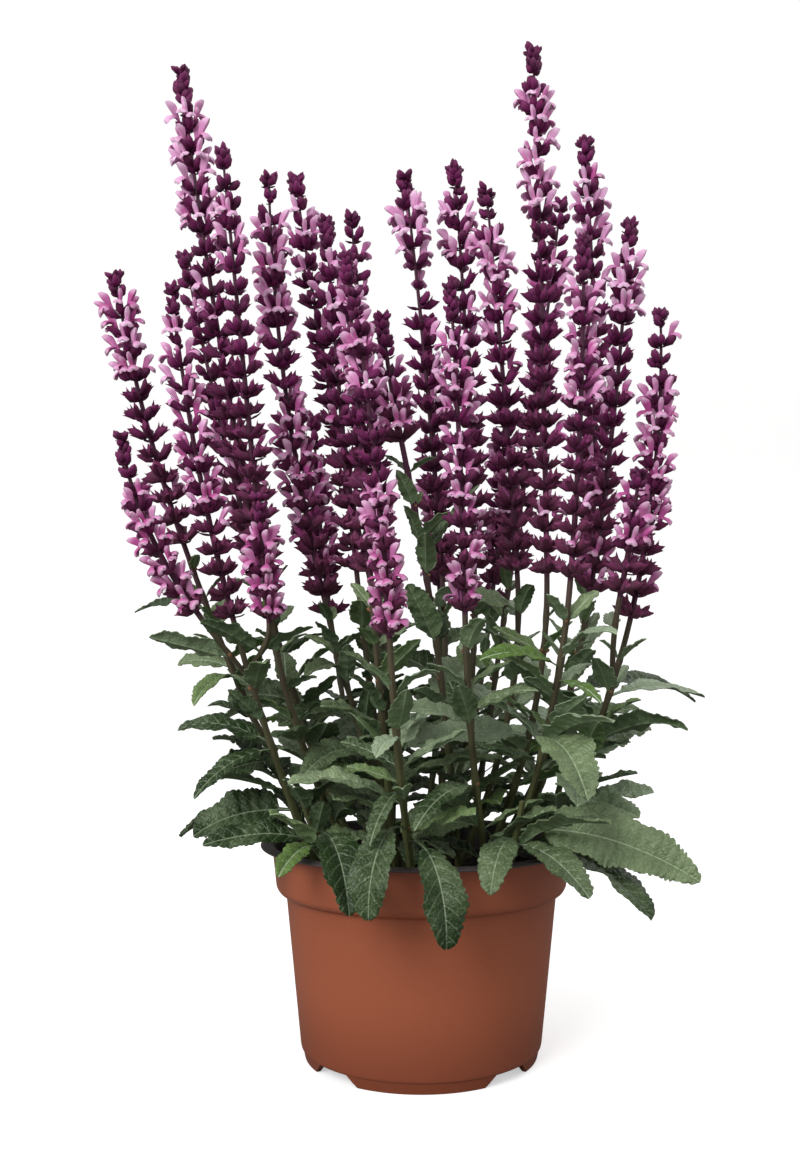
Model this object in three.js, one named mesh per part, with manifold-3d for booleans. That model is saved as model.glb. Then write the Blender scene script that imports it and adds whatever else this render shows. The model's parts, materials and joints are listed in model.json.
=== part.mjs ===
// A perennial salvia in its grower's pot.
// Millimetres, +Z up. The pot's axis is the Z axis and its feet stand on z = 0.
//
// Each flowering stem is two solids: a leafy stem, square in section with its leaves fused on,
// and the flower spike that it carries. Short leafy shoots stand between them at the crown.
// Every stem stands in a plain hole in the soil, and the soil fills the pot.

import * as THREE from "three";
import Module from "manifold-3d";

const wasm = await Module();
wasm.setup();

// ---------------------------------------------------------------- driving dimensions

const CLEARANCE = 0.3; // between solids that touch on the real plant

const POT = {
  wall: 1.8,
  floorUnder: 7, // underside of the raised floor
  floorTop: 9,
  footInner: 66,
  footBottom: 68.8, // outer radius of the foot where it stands
  footTop: 70.2,
  footHeight: 6.8,
  notchHeight: 6.3, // how high the four notches between the feet are cut
  bodyBottom: 71.3,
  bodyTop: 79.9,
  shoulder: 98.2, // height of the ledge between body and collar
  collarBottom: 85.6,
  collarTop: 88,
  lipUnder: 123.6,
  lipRadius: 95,
  height: 126,
};
// Half of a foot's width in degrees, where it stands and where it meets the pot.
const FOOT_HALF = 30.5;
const FOOT_ROOT_HALF = 36;
const FEET = 4;
const DRAIN = { radius: 5, ring: 56, depth: 12, sides: 8 };

const SOIL = { top: 107, unevenness: 1.6, holeDepth: 14 };

const STEM = { bottomRadius: 2, topRadius: 1.5, steps: 4, shootSag: 6 };

const WHORL = {
  calyces: 5,
  first: 5, // from the spike's start
  last: 6, // from its tip
  spacing: 29,
  tipSpacing: 0.6, // share of the spacing that is left at the bud tip
  crowding: 80, // distance from the tip where the whorls begin to crowd
  axisSides: 3,
  axisRadius: 1.7,
  waistRadius: 4.4, // between two calyces
  waistRise: 3.8,
  calyxReach: 9.6,
  calyxRise: 9.5,
  collarRise: 7,
  lipReach: 14.2, // a floret's lower lip
  lipRise: 7,
  lipHalfWidth: 3.2,
  hoodReach: 12, // its upper lip
  hoodRise: 16.5,
  throatReach: 7.2,
  throatRise: 8,
  openShare: 0.8, // of the florets, as many as are solid
  budZone: 60, // distance from the tip over which the whorls shrink
  budShare: 0.36,
};

const LEAF = {
  thickness: 0.8,
  petioleShare: 0.14,
  rootHalfWidth: 0.8,
  petioleHalfWidth: 1.3,
  fold: 0.22, // how far the halves rise from the midrib, as a share of their width
  shapePower: 0.65, // below 1 puts the widest place nearer to the base
  shapeFullness: 0.65, // below 1 makes both ends blunter
};
// Places along the blade of the toothed edge's points, and how far each stands out.
const TEETH_LARGE = [
  [0.07, 1.05],
  [0.27, 0.92],
  [0.46, 1.08],
  [0.72, 1.04],
];
const TEETH_SMALL = [
  [0.14, 1.05],
  [0.56, 1.02],
];
// Places along the blade where the midrib is bent.
const RIBS_LARGE = [0.3, 0.65];
const RIBS_SMALL = [0.42];
const SMALL_LEAF = 52; // chord length under which a leaf has the plainer outline

// How far apart the sampled points of two pieces stay, so that no two pieces cross. A leaf's
// points nearer its root than ownRoot, a share of its length, aren't held off its own stem.
const GAP = { leafToLeaf: 7, leafToStem: 6.6, leafToSpike: 16, ownRoot: 0.35 };
const LEAF_ABOVE = { soil: 5, lip: 3, ground: 40 };

const COLOR = { pot: "#9a4f36", soil: "#2a211c", leaf: "#56704a", spike: "#5c1a4b" };

// The plant's plan. A flowering stem rises from base (x, y on the soil) to top, where its spike
// begins, and the spike ends at tip; bow is the spike's sideways bulge.
const PLAN = {
  A: { base: [-34, 6], top: [-97, 8, 290], tip: [-146, 10, 594], bow: -3 },
  B: { base: [-34, -20], top: [-89, -38, 285], tip: [-112, -40, 522], bow: 0 },
  C: { base: [-56, 0], top: [-140, -5, 300], tip: [-178, -20, 460], bow: -4 },
  E: { base: [-58, -24], top: [-104, -48, 255], tip: [-138, -50, 442], bow: -4 },
  F: { base: [-44, 32], top: [-108, 54, 300], tip: [-156, 70, 502], bow: -2 },
  G: { base: [-8, -4], top: [-58, 0, 270], tip: [-91, 0, 525], bow: -7 },
  H: { base: [-24, 24], top: [-34, 40, 290], tip: [-81, 50, 544], bow: -3 },
  I: { base: [-16, 10], top: [-39, 10, 285], tip: [-58, 12, 501], bow: -1 },
  J: { base: [-18, 42], top: [-26, 66, 290], tip: [-47, 80, 530], bow: 0 },
  K: { base: [-4, -56], top: [-16, -104, 244], tip: [-34, -118, 419], bow: 2 },
  K2: { base: [-14, -28], top: [-28, -51, 280], tip: [-41, -60, 457], bow: 0 },
  L: { base: [22, -14], top: [-11, -30, 356], tip: [-23, -30, 433], bow: -1 },
  M: { base: [8, 14], top: [13, 34, 285], tip: [-11, 40, 542], bow: 2 },
  N: { base: [16, 32], top: [34, 48, 290], tip: [21, 60, 555], bow: 2 },
  O: { base: [22, 6], top: [58, 10, 285], tip: [39, 10, 520], bow: 1 },
  P: { base: [34, -10], top: [71, -35, 280], tip: [63, -35, 581], bow: 1 },
  Q: { base: [30, 42], top: [60, 74, 295], tip: [95, 95, 545], bow: 1 },
  R: { base: [46, -26], top: [79, -75, 275], tip: [86, -75, 460], bow: 2 },
  S: { base: [42, 24], top: [108, 42, 295], tip: [105, 55, 570], bow: 4 },
  T: { base: [52, 8], top: [102, 10, 272], tip: [126, 10, 501], bow: 3 },
  U: { base: [62, -18], top: [117, -40, 255], tip: [134, -40, 431], bow: 6 },
  V: { base: [38, -42], top: [23, -80, 257], tip: [15, -80, 434], bow: 1 },
  W: { base: [0, 46], top: [12, 74, 280], tip: [5, 90, 467], bow: 0 },
  X: { base: [-32, 50], top: [-62, 100, 262], tip: [-75, 117, 405], bow: -2 },
  Y: { base: [16, 58], top: [48, 104, 270], tip: [58, 120, 415], bow: 2 },
};

// Flowering branches: they leave the named stem at the height given.
const BRANCHES = {
  D: { from: "E", at: 222, top: [-120, -63, 257], tip: [-160, -75, 357], bow: -8 },
  AA: { from: "E", at: 228, top: [-81, -72, 253], tip: [-86, -80, 324], bow: 0 },
  U2: { from: "U", at: 220, top: [107, -65, 267], tip: [116, -75, 338], bow: 1 },
};

// The heights on each spike between which florets are open, and the share of calyces that hold one.
const BLOOMS = {
  A: [[500, 575, 0.6]],
  B: [[455, 495, 0.5]],
  C: [[405, 450, 0.9]],
  E: [[320, 435, 0.45]],
  G: [[325, 400, 0.5], [418, 502, 0.7]],
  H: [[500, 536, 0.5]],
  I: [[440, 480, 0.3]],
  J: [[470, 514, 0.4]],
  K: [[253, 322, 0.7], [370, 424, 0.6]],
  K2: [[390, 430, 0.3]],
  L: [[365, 428, 0.3]],
  M: [[466, 516, 0.7]],
  N: [[492, 540, 0.5]],
  O: [[430, 488, 0.65]],
  P: [[490, 563, 0.55]],
  Q: [[470, 500, 0.3]],
  R: [[370, 442, 0.75]],
  S: [[490, 550, 0.5]],
  T: [[277, 301, 0.4], [439, 489, 0.6]],
  U: [[312, 392, 0.7]],
  V: [[255, 293, 0.35], [308, 355, 0.25], [360, 414, 0.7]],
  W: [[400, 440, 0.3]],
  X: [[300, 370, 0.4]],
  Y: [[310, 390, 0.4]],
  D: [[255, 325, 0.75]],
  AA: [[252, 314, 0.75]],
  U2: [[300, 336, 0.6]],
};

// Leafy shoots without a spike.
const SHOOTS = {
  front_left: { base: [-48, -44], top: [-66, -58, 162] },
  front_right: { base: [44, -60], top: [54, -72, 158] },
  right: { base: [68, 2], top: [86, 6, 168] },
  back_left: { base: [-50, 56], top: [-62, 78, 182] },
};

// The large leaves, each one placed: stem, root height, tip x, y, z, width, bend of the midrib
// from root to tip in degrees, and tilt, which turns the upper face towards -Y.
const LEAVES = [
  ["E", 148, -128, -45, 136, 29, 40, 50],
  ["front_right", 142, 145, -78, 115, 36, 45, 55],
  ["K", 136, 12, -122, 92, 25, 120, 0],
  ["K", 143, -10, -113, 95, 24, 130, 0],
  ["front_left", 136, -36, -112, 106, 26, 105, 0],
  ["front_right", 136, 34, -114, 117, 22, 90, 0],
  ["R", 190, 82, -115, 163, 28, 70, 30],
  ["P", 189, -7, -65, 185, 21, 40, 50],
  ["C", 172, -120, -26, 164, 22, 40, 50],
  ["G", 178, -72, -65, 171, 22, 45, 40],
  ["G", 200, -79, -30, 197, 19, 35, 40],
  ["A", 207, -124, 10, 208, 24, 40, 50],
  ["V", 165, -2, -112, 142, 15, 60, 20],
  ["V", 199, -15, -95, 203, 14, 40, 40],
  ["R", 229, 30, -102, 234, 14, 45, 40],
  ["U", 212, 172, 20, 207, 14, 40, 30],
  ["U", 184, 138, 10, 192, 21, 35, 50],
  ["U", 152, 118, -60, 146, 18, 45, 40],
  ["front_right", 134, 88, -104, 113, 22, 60, 20],
  ["front_left", 132, -115, -45, 111, 20, 50, 40],
  ["front_left", 130, -84, -86, 109, 14, 60, 30],
  ["K2", 150, -46, -84, 160, 24, 40, 40],
  ["V", 142, -6, -76, 130, 24, 40, 50],
  ["O", 262, 24, -22, 272, 21, 35, 50],
  ["E", 183, -120, -78, 160, 14, 50, 20],
  ["C", 186, -116, 22, 183, 18, 40, 30],
  ["C", 228, -148, 10, 231, 15, 40, 40],
  ["C", 222, -128, -40, 208, 15, 60, 0],
  ["C", 266, -178, 30, 262, 16, 35, 30],
  ["G", 235, -60, -22, 256, 16, 20, 50],
  ["G", 227, -66, -32, 224, 14, 50, 40],
  ["I", 250, -34, -22, 266, 18, 30, 60],
  ["G", 185, -28, -42, 216, 12, 20, 40],
  ["K", 193, -22, -124, 186, 12, 50, 20],
  ["R", 232, 99, -102, 248, 14, 70, 30],
  ["R", 222, 93, -92, 212, 12, 40, 10],
  ["V", 205, 60, -90, 219, 11, 30, 40],
  ["L", 296, -9, -52, 319, 10, 30, 40],
  ["L", 290, 34, -18, 334, 10, 20, 20],
  ["front_left", 150, -68, -76, 166, 17, 30, 40],
  ["K", 166, -24, -114, 138, 12, 60, 0],
  ["K", 168, -38, -98, 178, 12, 30, 30],
  ["right", 134, 122, -40, 108, 18, 55, 30],
  ["S", 212, 187, 92, 206, 20, 45, 30],
  ["back_left", 150, -92, 136, 150, 24, 50, 0],
  ["Y", 170, 40, 138, 166, 24, 50, 0],
  ["X", 190, -20, 138, 180, 22, 50, 0],
  ["Q", 190, 110, 112, 180, 24, 50, 0],
  ["F", 200, -136, 86, 190, 22, 45, 0],
];

// Leaves in opposite pairs up every stem, each pair turned a quarter from the one below:
// distance up the stem, chord length, rise in degrees and bend in degrees.
const PAIRS = [
  { at: 26, length: 78, rise: 2, bend: 55 },
  { at: 52, length: 72, rise: 8, bend: 55 },
  { at: 82, length: 58, rise: 14, bend: 50 },
  { at: 116, length: 44, rise: 24, bend: 40 },
  { at: 152, length: 34, rise: 34, bend: 35 },
  { at: 190, length: 26, rise: 42, bend: 30 },
];
const PAIR_WIDTH = 0.36; // width as a share of the chord
const PAIR_LEAVES = 35; // as many as are fused on in all
const PAIR_CHANCE = 0.62; // that a leaf of a pair grows
const SEED = 20261;

// ---------------------------------------------------------------- small helpers

const DEG = Math.PI / 180;
const vec = (x, y, z) => new THREE.Vector3(x, y, z);
const lerp = (a, b, t) => a + (b - a) * t;
const stepsOf = (count) => Array.from({ length: count }, (_, i) => i);

// A seeded source of numbers from 0 to 1.
function randomFrom(seed) {
  let state = seed >>> 0;
  return () => {
    state = (state + 0x6d2b79f5) >>> 0;
    let t = Math.imul(state ^ (state >>> 15), state | 1);
    t ^= t + Math.imul(t ^ (t >>> 7), t | 61);
    return ((t ^ (t >>> 14)) >>> 0) / 4294967296;
  };
}

// A closed surface under construction: points, and triangles that turn anticlockwise from outside.
class Skin {
  points = [];
  faces = [];

  point(v) {
    this.points.push(v);
    return this.points.length - 1;
  }

  loop(list) {
    return list.map((v) => this.point(v));
  }

  // Joins two loops of the same length; the second lies further along the axis.
  band(first, second) {
    first.forEach((a, i) => {
      const next = (i + 1) % first.length;
      this.faces.push([a, first[next], second[next]], [a, second[next], second[i]]);
    });
  }

  // Closes a loop with a fan from a point: the loop's start (up = false) or end (up = true).
  fan(center, loop, up) {
    loop.forEach((a, i) => {
      const b = loop[(i + 1) % loop.length];
      this.faces.push(up ? [a, b, center] : [b, a, center]);
    });
  }

  geometry() {
    const position = new Float32Array(this.points.flatMap((p) => [p.x, p.y, p.z]));
    return new THREE.BufferGeometry()
      .setAttribute("position", new THREE.BufferAttribute(position, 3))
      .setIndex(this.faces.flat());
  }

  solid() {
    const geometry = this.geometry();
    return new wasm.Manifold(
      new wasm.Mesh({
        numProp: 3,
        vertProperties: geometry.attributes.position.array,
        triVerts: new Uint32Array(geometry.index.array),
      }),
    );
  }
}

function geometryOf(solid) {
  const mesh = solid.getMesh();
  return new THREE.BufferGeometry()
    .setAttribute("position", new THREE.BufferAttribute(mesh.vertProperties, 3))
    .setIndex(new THREE.BufferAttribute(mesh.triVerts, 1));
}

const surface = (color, roughness) => new THREE.MeshStandardMaterial({ color, roughness });

const MATERIAL = {
  pot: surface(COLOR.pot, 0.45),
  soil: surface(COLOR.soil, 0.95),
  leaf: surface(COLOR.leaf, 0.7),
  spike: surface(COLOR.spike, 0.8),
};

const salvia = new THREE.Group();

// Adds one node of the part.
function addMesh(name, geometry, material) {
  const mesh = new THREE.Mesh(geometry, material);
  mesh.name = name;
  salvia.add(mesh);
}

// ---------------------------------------------------------------- pot and soil

// The angles of the pot's corners. Between two feet a notch runs up to the foot's root angle.
const third = FOOT_HALF / 3;
const footAngles = [-FOOT_ROOT_HALF, -FOOT_HALF, -third, third, FOOT_HALF, FOOT_ROOT_HALF, 180 / FEET];
const potAngles = stepsOf(FEET).flatMap((foot) =>
  footAngles.map((a) => (a - 90 + (foot * 360) / FEET) * DEG),
);

const isNotch = (column) => Math.abs(footAngles[column % footAngles.length]) > FOOT_HALF;

// Turns a profile round the Z axis. Each ring is [radius, height], or a function of the column
// that returns them; the first and last rings are single points on the axis.
function revolve(rings) {
  const skin = new Skin();
  const loops = rings.slice(1, -1).map((ring) =>
    skin.loop(
      potAngles.map((angle, column) => {
        const [r, z] = typeof ring === "function" ? ring(column) : ring;
        return vec(r * Math.cos(angle), r * Math.sin(angle), z);
      }),
    ),
  );
  skin.fan(skin.point(vec(0, 0, rings[0][1])), loops[0], false);
  loops.slice(1).forEach((loop, i) => skin.band(loops[i], loop));
  skin.fan(skin.point(vec(0, 0, rings.at(-1)[1])), loops.at(-1), true);
  return skin;
}

// The inside of the pot, from the floor's edge to the lip: [radius, height].
const inside = {
  floor: [POT.bodyBottom - POT.wall, POT.floorTop],
  bodyTop: [POT.bodyTop - POT.wall, POT.shoulder],
  collarBottom: [POT.collarBottom - POT.wall, POT.shoulder + 3.4],
  collarTop: [POT.collarTop - POT.wall, POT.height - 1.6],
};

function potSolid() {
  const footRing = (radius) => (column) => {
    const z = isNotch(column) ? POT.notchHeight : 0;
    return [radius + (POT.footTop - POT.footBottom) * (z / POT.footHeight), z];
  };
  const body = revolve([
    [0, POT.floorUnder],
    [POT.footInner + 0.4, POT.floorUnder],
    (column) => [POT.footInner, isNotch(column) ? POT.notchHeight : 0],
    footRing(POT.footBottom),
    [POT.footTop, POT.footHeight],
    [POT.bodyBottom, POT.footHeight + 1.4],
    [POT.bodyTop, POT.shoulder - 1.6],
    [POT.collarBottom - 1.6, POT.shoulder],
    [POT.collarBottom, POT.shoulder + 2.4],
    [POT.collarTop, POT.lipUnder - 0.2],
    [POT.lipRadius - 0.4, POT.lipUnder + 0.2],
    [POT.lipRadius, POT.height - 1],
    [POT.lipRadius - 5.6, POT.height],
    inside.collarTop,
    inside.collarBottom,
    inside.bodyTop,
    inside.floor,
    [0, POT.floorTop],
  ]).solid();
  const drains = [45, 135, 225, 315].map((angle) => {
    const hole = new THREE.CylinderGeometry(DRAIN.radius, DRAIN.radius, DRAIN.depth, DRAIN.sides);
    hole.rotateX(90 * DEG);
    hole.translate(DRAIN.ring * Math.cos(angle * DEG), DRAIN.ring * Math.sin(angle * DEG), POT.floorTop);
    return hole;
  });
  return drains.reduce((pot, hole) => pot.subtract(solidOf(hole)), body);
}

// A closed three.js geometry as a solid: its corners are merged by place.
function solidOf(geometry) {
  const skin = new Skin();
  const seen = new Map();
  const position = geometry.attributes.position;
  const corner = (i) => {
    const v = vec(position.getX(i), position.getY(i), position.getZ(i));
    const key = v.toArray().map((x) => x.toFixed(3)).join();
    if (!seen.has(key)) seen.set(key, skin.point(v));
    return seen.get(key);
  };
  const corners = Array.from(geometry.index.array, corner);
  for (let i = 0; i < corners.length; i += 3) {
    const face = corners.slice(i, i + 3);
    if (new Set(face).size === 3) skin.faces.push(face);
  }
  return skin.solid();
}

function soilSkin() {
  const top = (radius, phase) => (column) => {
    const a = potAngles[column];
    return [radius, SOIL.top + SOIL.unevenness * Math.sin(3 * a + phase) * Math.cos(5 * a - phase)];
  };
  const shrink = ([r, z]) => [r - CLEARANCE - 0.05, z + CLEARANCE];
  const wallTop = lerp(inside.collarBottom[0], inside.collarTop[0], 0.3);
  return revolve([
    [0, POT.floorTop + CLEARANCE],
    shrink(inside.floor),
    shrink(inside.bodyTop),
    shrink(inside.collarBottom),
    top(wallTop - CLEARANCE - 0.3, 0),
    top(48, 1),
    [0, SOIL.top],
  ]);
}

// ---------------------------------------------------------------- stems

const stems = {}; // name -> { curve, from, spike, bottomRadius }

function addStem(name, start, row) {
  const top = vec(...row.top);
  const stem = { name, start, top, from: row.from, blooms: BLOOMS[name] ?? [] };
  if (row.tip) {
    const tip = vec(...row.tip);
    const control = top.clone().add(tip).multiplyScalar(0.5).add(vec(2 * row.bow, 0, 0));
    stem.spike = new THREE.QuadraticBezierCurve3(top, control, tip);
    const heading = control.clone().sub(top).normalize();
    const control2 = top.clone().addScaledVector(heading, -0.5 * (top.z - start.z));
    stem.curve = new THREE.QuadraticBezierCurve3(start, control2, top);
  } else {
    const control = start.clone().lerp(top, 0.5).add(vec(0, 0, -STEM.shootSag));
    stem.curve = new THREE.QuadraticBezierCurve3(start, control, top);
  }
  stems[name] = stem;
}

// The place on a stem at a height, by halving the stretch that holds it.
function atHeight(stem, height) {
  let low = 0;
  let high = 1;
  for (let i = 0; i < 30; i++) {
    const middle = (low + high) / 2;
    if (stem.curve.getPoint(middle).z < height) low = middle;
    else high = middle;
  }
  return (low + high) / 2;
}

for (const [name, row] of Object.entries({ ...PLAN, ...SHOOTS })) {
  addStem(name, vec(...row.base, SOIL.top), row);
}
for (const [name, row] of Object.entries(BRANCHES)) {
  const parent = stems[row.from];
  addStem(name, parent.curve.getPoint(atHeight(parent, row.at)), row);
}

// Two directions square to a heading, the first one near +X.
function across(heading) {
  const second = heading.clone().cross(vec(1, 0, 0)).normalize();
  return [second.clone().cross(heading).normalize(), second];
}

function ringAround(center, heading, radius, sides, turn = 0) {
  const [u, v] = across(heading);
  return Array.from({ length: sides }, (_, i) => {
    const angle = ((i + turn) * 2 * Math.PI) / sides;
    return center
      .clone()
      .addScaledVector(u, radius * Math.cos(angle))
      .addScaledVector(v, radius * Math.sin(angle));
  });
}

// The direction in which a stem leaves the soil, as far as its first bend.
function footHeading(stem) {
  return stem.curve.getPoint(1 / STEM.steps).sub(stem.start).normalize();
}

// A square stem along its curve. A stem that stands in the soil goes on straight below it.
function stemSkin(stem) {
  const skin = new Skin();
  const rings = [];
  if (!stem.from) {
    const heading = footHeading(stem);
    const foot = stem.start.clone().addScaledVector(heading, CLEARANCE - SOIL.holeDepth);
    rings.push(skin.loop(ringAround(foot, heading, STEM.bottomRadius, 4)));
  }
  for (let i = stem.from ? 0 : 1; i <= STEM.steps; i++) {
    const t = i / STEM.steps;
    const heading = stem.curve.getTangent(t);
    const center = stem.curve.getPoint(t);
    if (i === STEM.steps && stem.spike) center.addScaledVector(heading, -CLEARANCE / 2);
    const thick = stem.from ? STEM.topRadius : STEM.bottomRadius;
    rings.push(skin.loop(ringAround(center, heading, lerp(thick, STEM.topRadius, t), 4)));
  }
  const cap = (loop, up) => {
    const center = loop.reduce((sum, i) => sum.add(skin.points[i]), vec(0, 0, 0)).divideScalar(4);
    skin.fan(skin.point(center), loop, up);
  };
  cap(rings[0], false);
  rings.slice(1).forEach((ring, i) => skin.band(rings[i], ring));
  cap(rings.at(-1), true);
  return skin;
}

// A plain hole for a stem: a square prism a little wider than the stem's foot.
function stemHole(stem) {
  const skin = new Skin();
  const heading = footHeading(stem);
  const radius = STEM.bottomRadius + CLEARANCE * Math.SQRT2;
  const ends = [-SOIL.holeDepth, 12].map((distance) =>
    skin.loop(ringAround(stem.start.clone().addScaledVector(heading, distance), heading, radius, 4)),
  );
  skin.faces.push([ends[0][2], ends[0][1], ends[0][0]], [ends[0][3], ends[0][2], ends[0][0]]);
  skin.band(ends[0], ends[1]);
  skin.faces.push([ends[1][0], ends[1][1], ends[1][2]], [ends[1][0], ends[1][2], ends[1][3]]);
  return skin.solid();
}

// ---------------------------------------------------------------- leaves

// A leaf's midrib is an arc in an upright plane from root towards azimuth. Rise is the slope of
// its chord, bend the angle that it turns through, and roll its turn about the midrib.
function leafPoint(leaf, s, side, widthShare = 1) {
  const first = leaf.rise + leaf.bend / 2;
  const slope = first - leaf.bend * s;
  const radius = leaf.length / 2 / Math.sin(leaf.bend / 2);
  const out = radius * (Math.sin(first) - Math.sin(slope));
  const up = radius * (Math.cos(slope) - Math.cos(first));
  const ca = Math.cos(leaf.azimuth);
  const sa = Math.sin(leaf.azimuth);
  const middle = vec(leaf.root.x + ca * out, leaf.root.y + sa * out, leaf.root.z + up);
  const level = vec(-sa, ca, 0);
  const upright = vec(-Math.sin(slope) * ca, -Math.sin(slope) * sa, Math.cos(slope));
  const cr = Math.cos(leaf.roll);
  const sr = Math.sin(leaf.roll);
  const sideways = level.clone().multiplyScalar(cr).addScaledVector(upright, sr);
  const normal = upright.clone().multiplyScalar(cr).addScaledVector(level, -sr);
  const width = halfWidth(leaf, s) * side * widthShare;
  middle.addScaledVector(sideways, width).addScaledVector(normal, LEAF.fold * Math.abs(width));
  return { place: middle, normal };
}

// Half the leaf's width at a share s of its length: a narrow stalk, then an oblong blade.
function halfWidth(leaf, s) {
  const blade = (s - LEAF.petioleShare) / (1 - LEAF.petioleShare);
  if (blade <= 0) return lerp(LEAF.rootHalfWidth, LEAF.petioleHalfWidth, s / LEAF.petioleShare);
  const shape = Math.max(Math.sin(Math.PI * Math.pow(Math.min(blade, 1), LEAF.shapePower)), 0);
  const half = (leaf.width / 2) * Math.pow(shape, LEAF.shapeFullness);
  return Math.max(half, LEAF.petioleHalfWidth * (1 - blade));
}

function leafSkin(leaf) {
  const small = leaf.length < SMALL_LEAF;
  const bladeAt = (u) => LEAF.petioleShare + (1 - LEAF.petioleShare) * u;
  const ribs = [LEAF.petioleShare, ...(small ? RIBS_SMALL : RIBS_LARGE).map(bladeAt)];
  const teeth = (small ? TEETH_SMALL : TEETH_LARGE).map(([u, share]) => [bladeAt(u), share]);
  const edge = [[0, 1], [LEAF.petioleShare, 1], ...teeth];
  const skin = new Skin();
  const both = (s, side, share) => {
    const { place, normal } = leafPoint(leaf, s, side, share);
    const half = LEAF.thickness / 2;
    return [half, -half].map((offset) => skin.point(place.clone().addScaledVector(normal, offset)));
  };
  const middle = ribs.map((s) => both(s, 0, 1));
  const tip = both(1, 0, 1);
  const sides = [1, -1].map((side) => edge.map(([s, share]) => both(s, side, share)));
  const face = (a, b, c) => {
    skin.faces.push([a[0], b[0], c[0]], [c[1], b[1], a[1]]);
  };
  // The root is split once, from side to side. Past it each half is a strip between the midrib
  // and its edge. The faces above and below are split alike.
  face(sides[0][0], sides[1][0], middle[0]);
  sides.forEach((points, index) => {
    const inner = [middle[0], ...middle, tip];
    const outer = [...points, tip];
    const innerAt = [0, ...ribs, 1];
    const outerAt = [...edge.map(([s]) => s), 1];
    let i = 0;
    let j = 0;
    while (i < inner.length - 1 || j < outer.length - 1) {
      const innerIsNext = i < inner.length - 1 && innerAt[i + 1] <= outerAt[j + 1];
      const stepInner = j === outer.length - 1 || innerIsNext;
      const from = stepInner ? inner[i] : outer[j];
      const to = stepInner ? inner[i + 1] : outer[j + 1];
      const other = stepInner ? outer[j] : inner[i];
      const corners = stepInner ? [from, to, other] : [other, to, from];
      if (new Set(corners).size === 3) face(...(index === 0 ? corners : corners.toReversed()));
      if (stepInner) i++;
      else j++;
    }
  });
  const rim = [...sides[0], tip, ...sides[1].toReversed()];
  rim.forEach((a, i) => {
    const b = rim[(i + 1) % rim.length];
    skin.faces.push([a[0], b[0], b[1]], [a[0], b[1], a[1]]);
  });
  return skin;
}

// Points spread over a leaf, past its root, to measure its distance from other pieces.
function leafSamples(leaf) {
  const samples = [];
  for (let i = 0; i < 12; i++) {
    const s = lerp(0.15, 1, i / 11);
    for (const side of [-1, -0.5, 0, 0.5, 1]) {
      const { place } = leafPoint(leaf, s, side);
      samples.push({ x: place.x, y: place.y, z: place.z, s });
    }
  }
  return samples;
}

// Clear of the pot's wall and lip, and of the soil.
function clearOfPot({ x, y, z }) {
  const r = Math.hypot(x, y);
  if (r < POT.collarBottom - POT.wall) return z > SOIL.top + LEAF_ABOVE.soil;
  if (r < POT.lipRadius + LEAF_ABOVE.lip) return z > POT.height + LEAF_ABOVE.lip;
  return z > LEAF_ABOVE.ground;
}

const obstacles = [];

function addObstacle(place, gap, owner, s = 1) {
  obstacles.push({ x: place.x, y: place.y, z: place.z, reach: gap * gap, owner, s });
}

function isClear(samples, owner) {
  if (!samples.every(clearOfPot)) return false;
  return obstacles.every((o) =>
    samples.every((p) => {
      if (o.owner === owner && Math.min(o.s, p.s) < GAP.ownRoot) return true;
      const dx = o.x - p.x;
      const dy = o.y - p.y;
      const dz = o.z - p.z;
      return dx * dx + dy * dy + dz * dz > o.reach;
    }),
  );
}

// A leaf that would cross another piece is bent clear: swung and lifted by these steps, in
// degrees, in turn. One that no step clears is left off.
const BENDS = [0, 1, 2, 3, 4, 5].flatMap((k) =>
  k === 0 ? [[0, 0]] : [[0, 6 * k], [7 * k, 0], [-7 * k, 0], [0, -5 * k], [6 * k, 5 * k], [-6 * k, 5 * k]],
);

const leaves = []; // { stem, ...leaf }

function placeLeaf(stem, leaf) {
  for (const [swing, lift] of BENDS) {
    const bent = { ...leaf, azimuth: leaf.azimuth + swing * DEG, rise: leaf.rise + lift * DEG };
    const samples = leafSamples(bent);
    if (isClear(samples, stem.name)) {
      samples.forEach((p) => addObstacle(p, GAP.leafToLeaf, stem.name, p.s));
      leaves.push({ stem: stem.name, ...bent });
      return true;
    }
  }
  return false;
}

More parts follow.
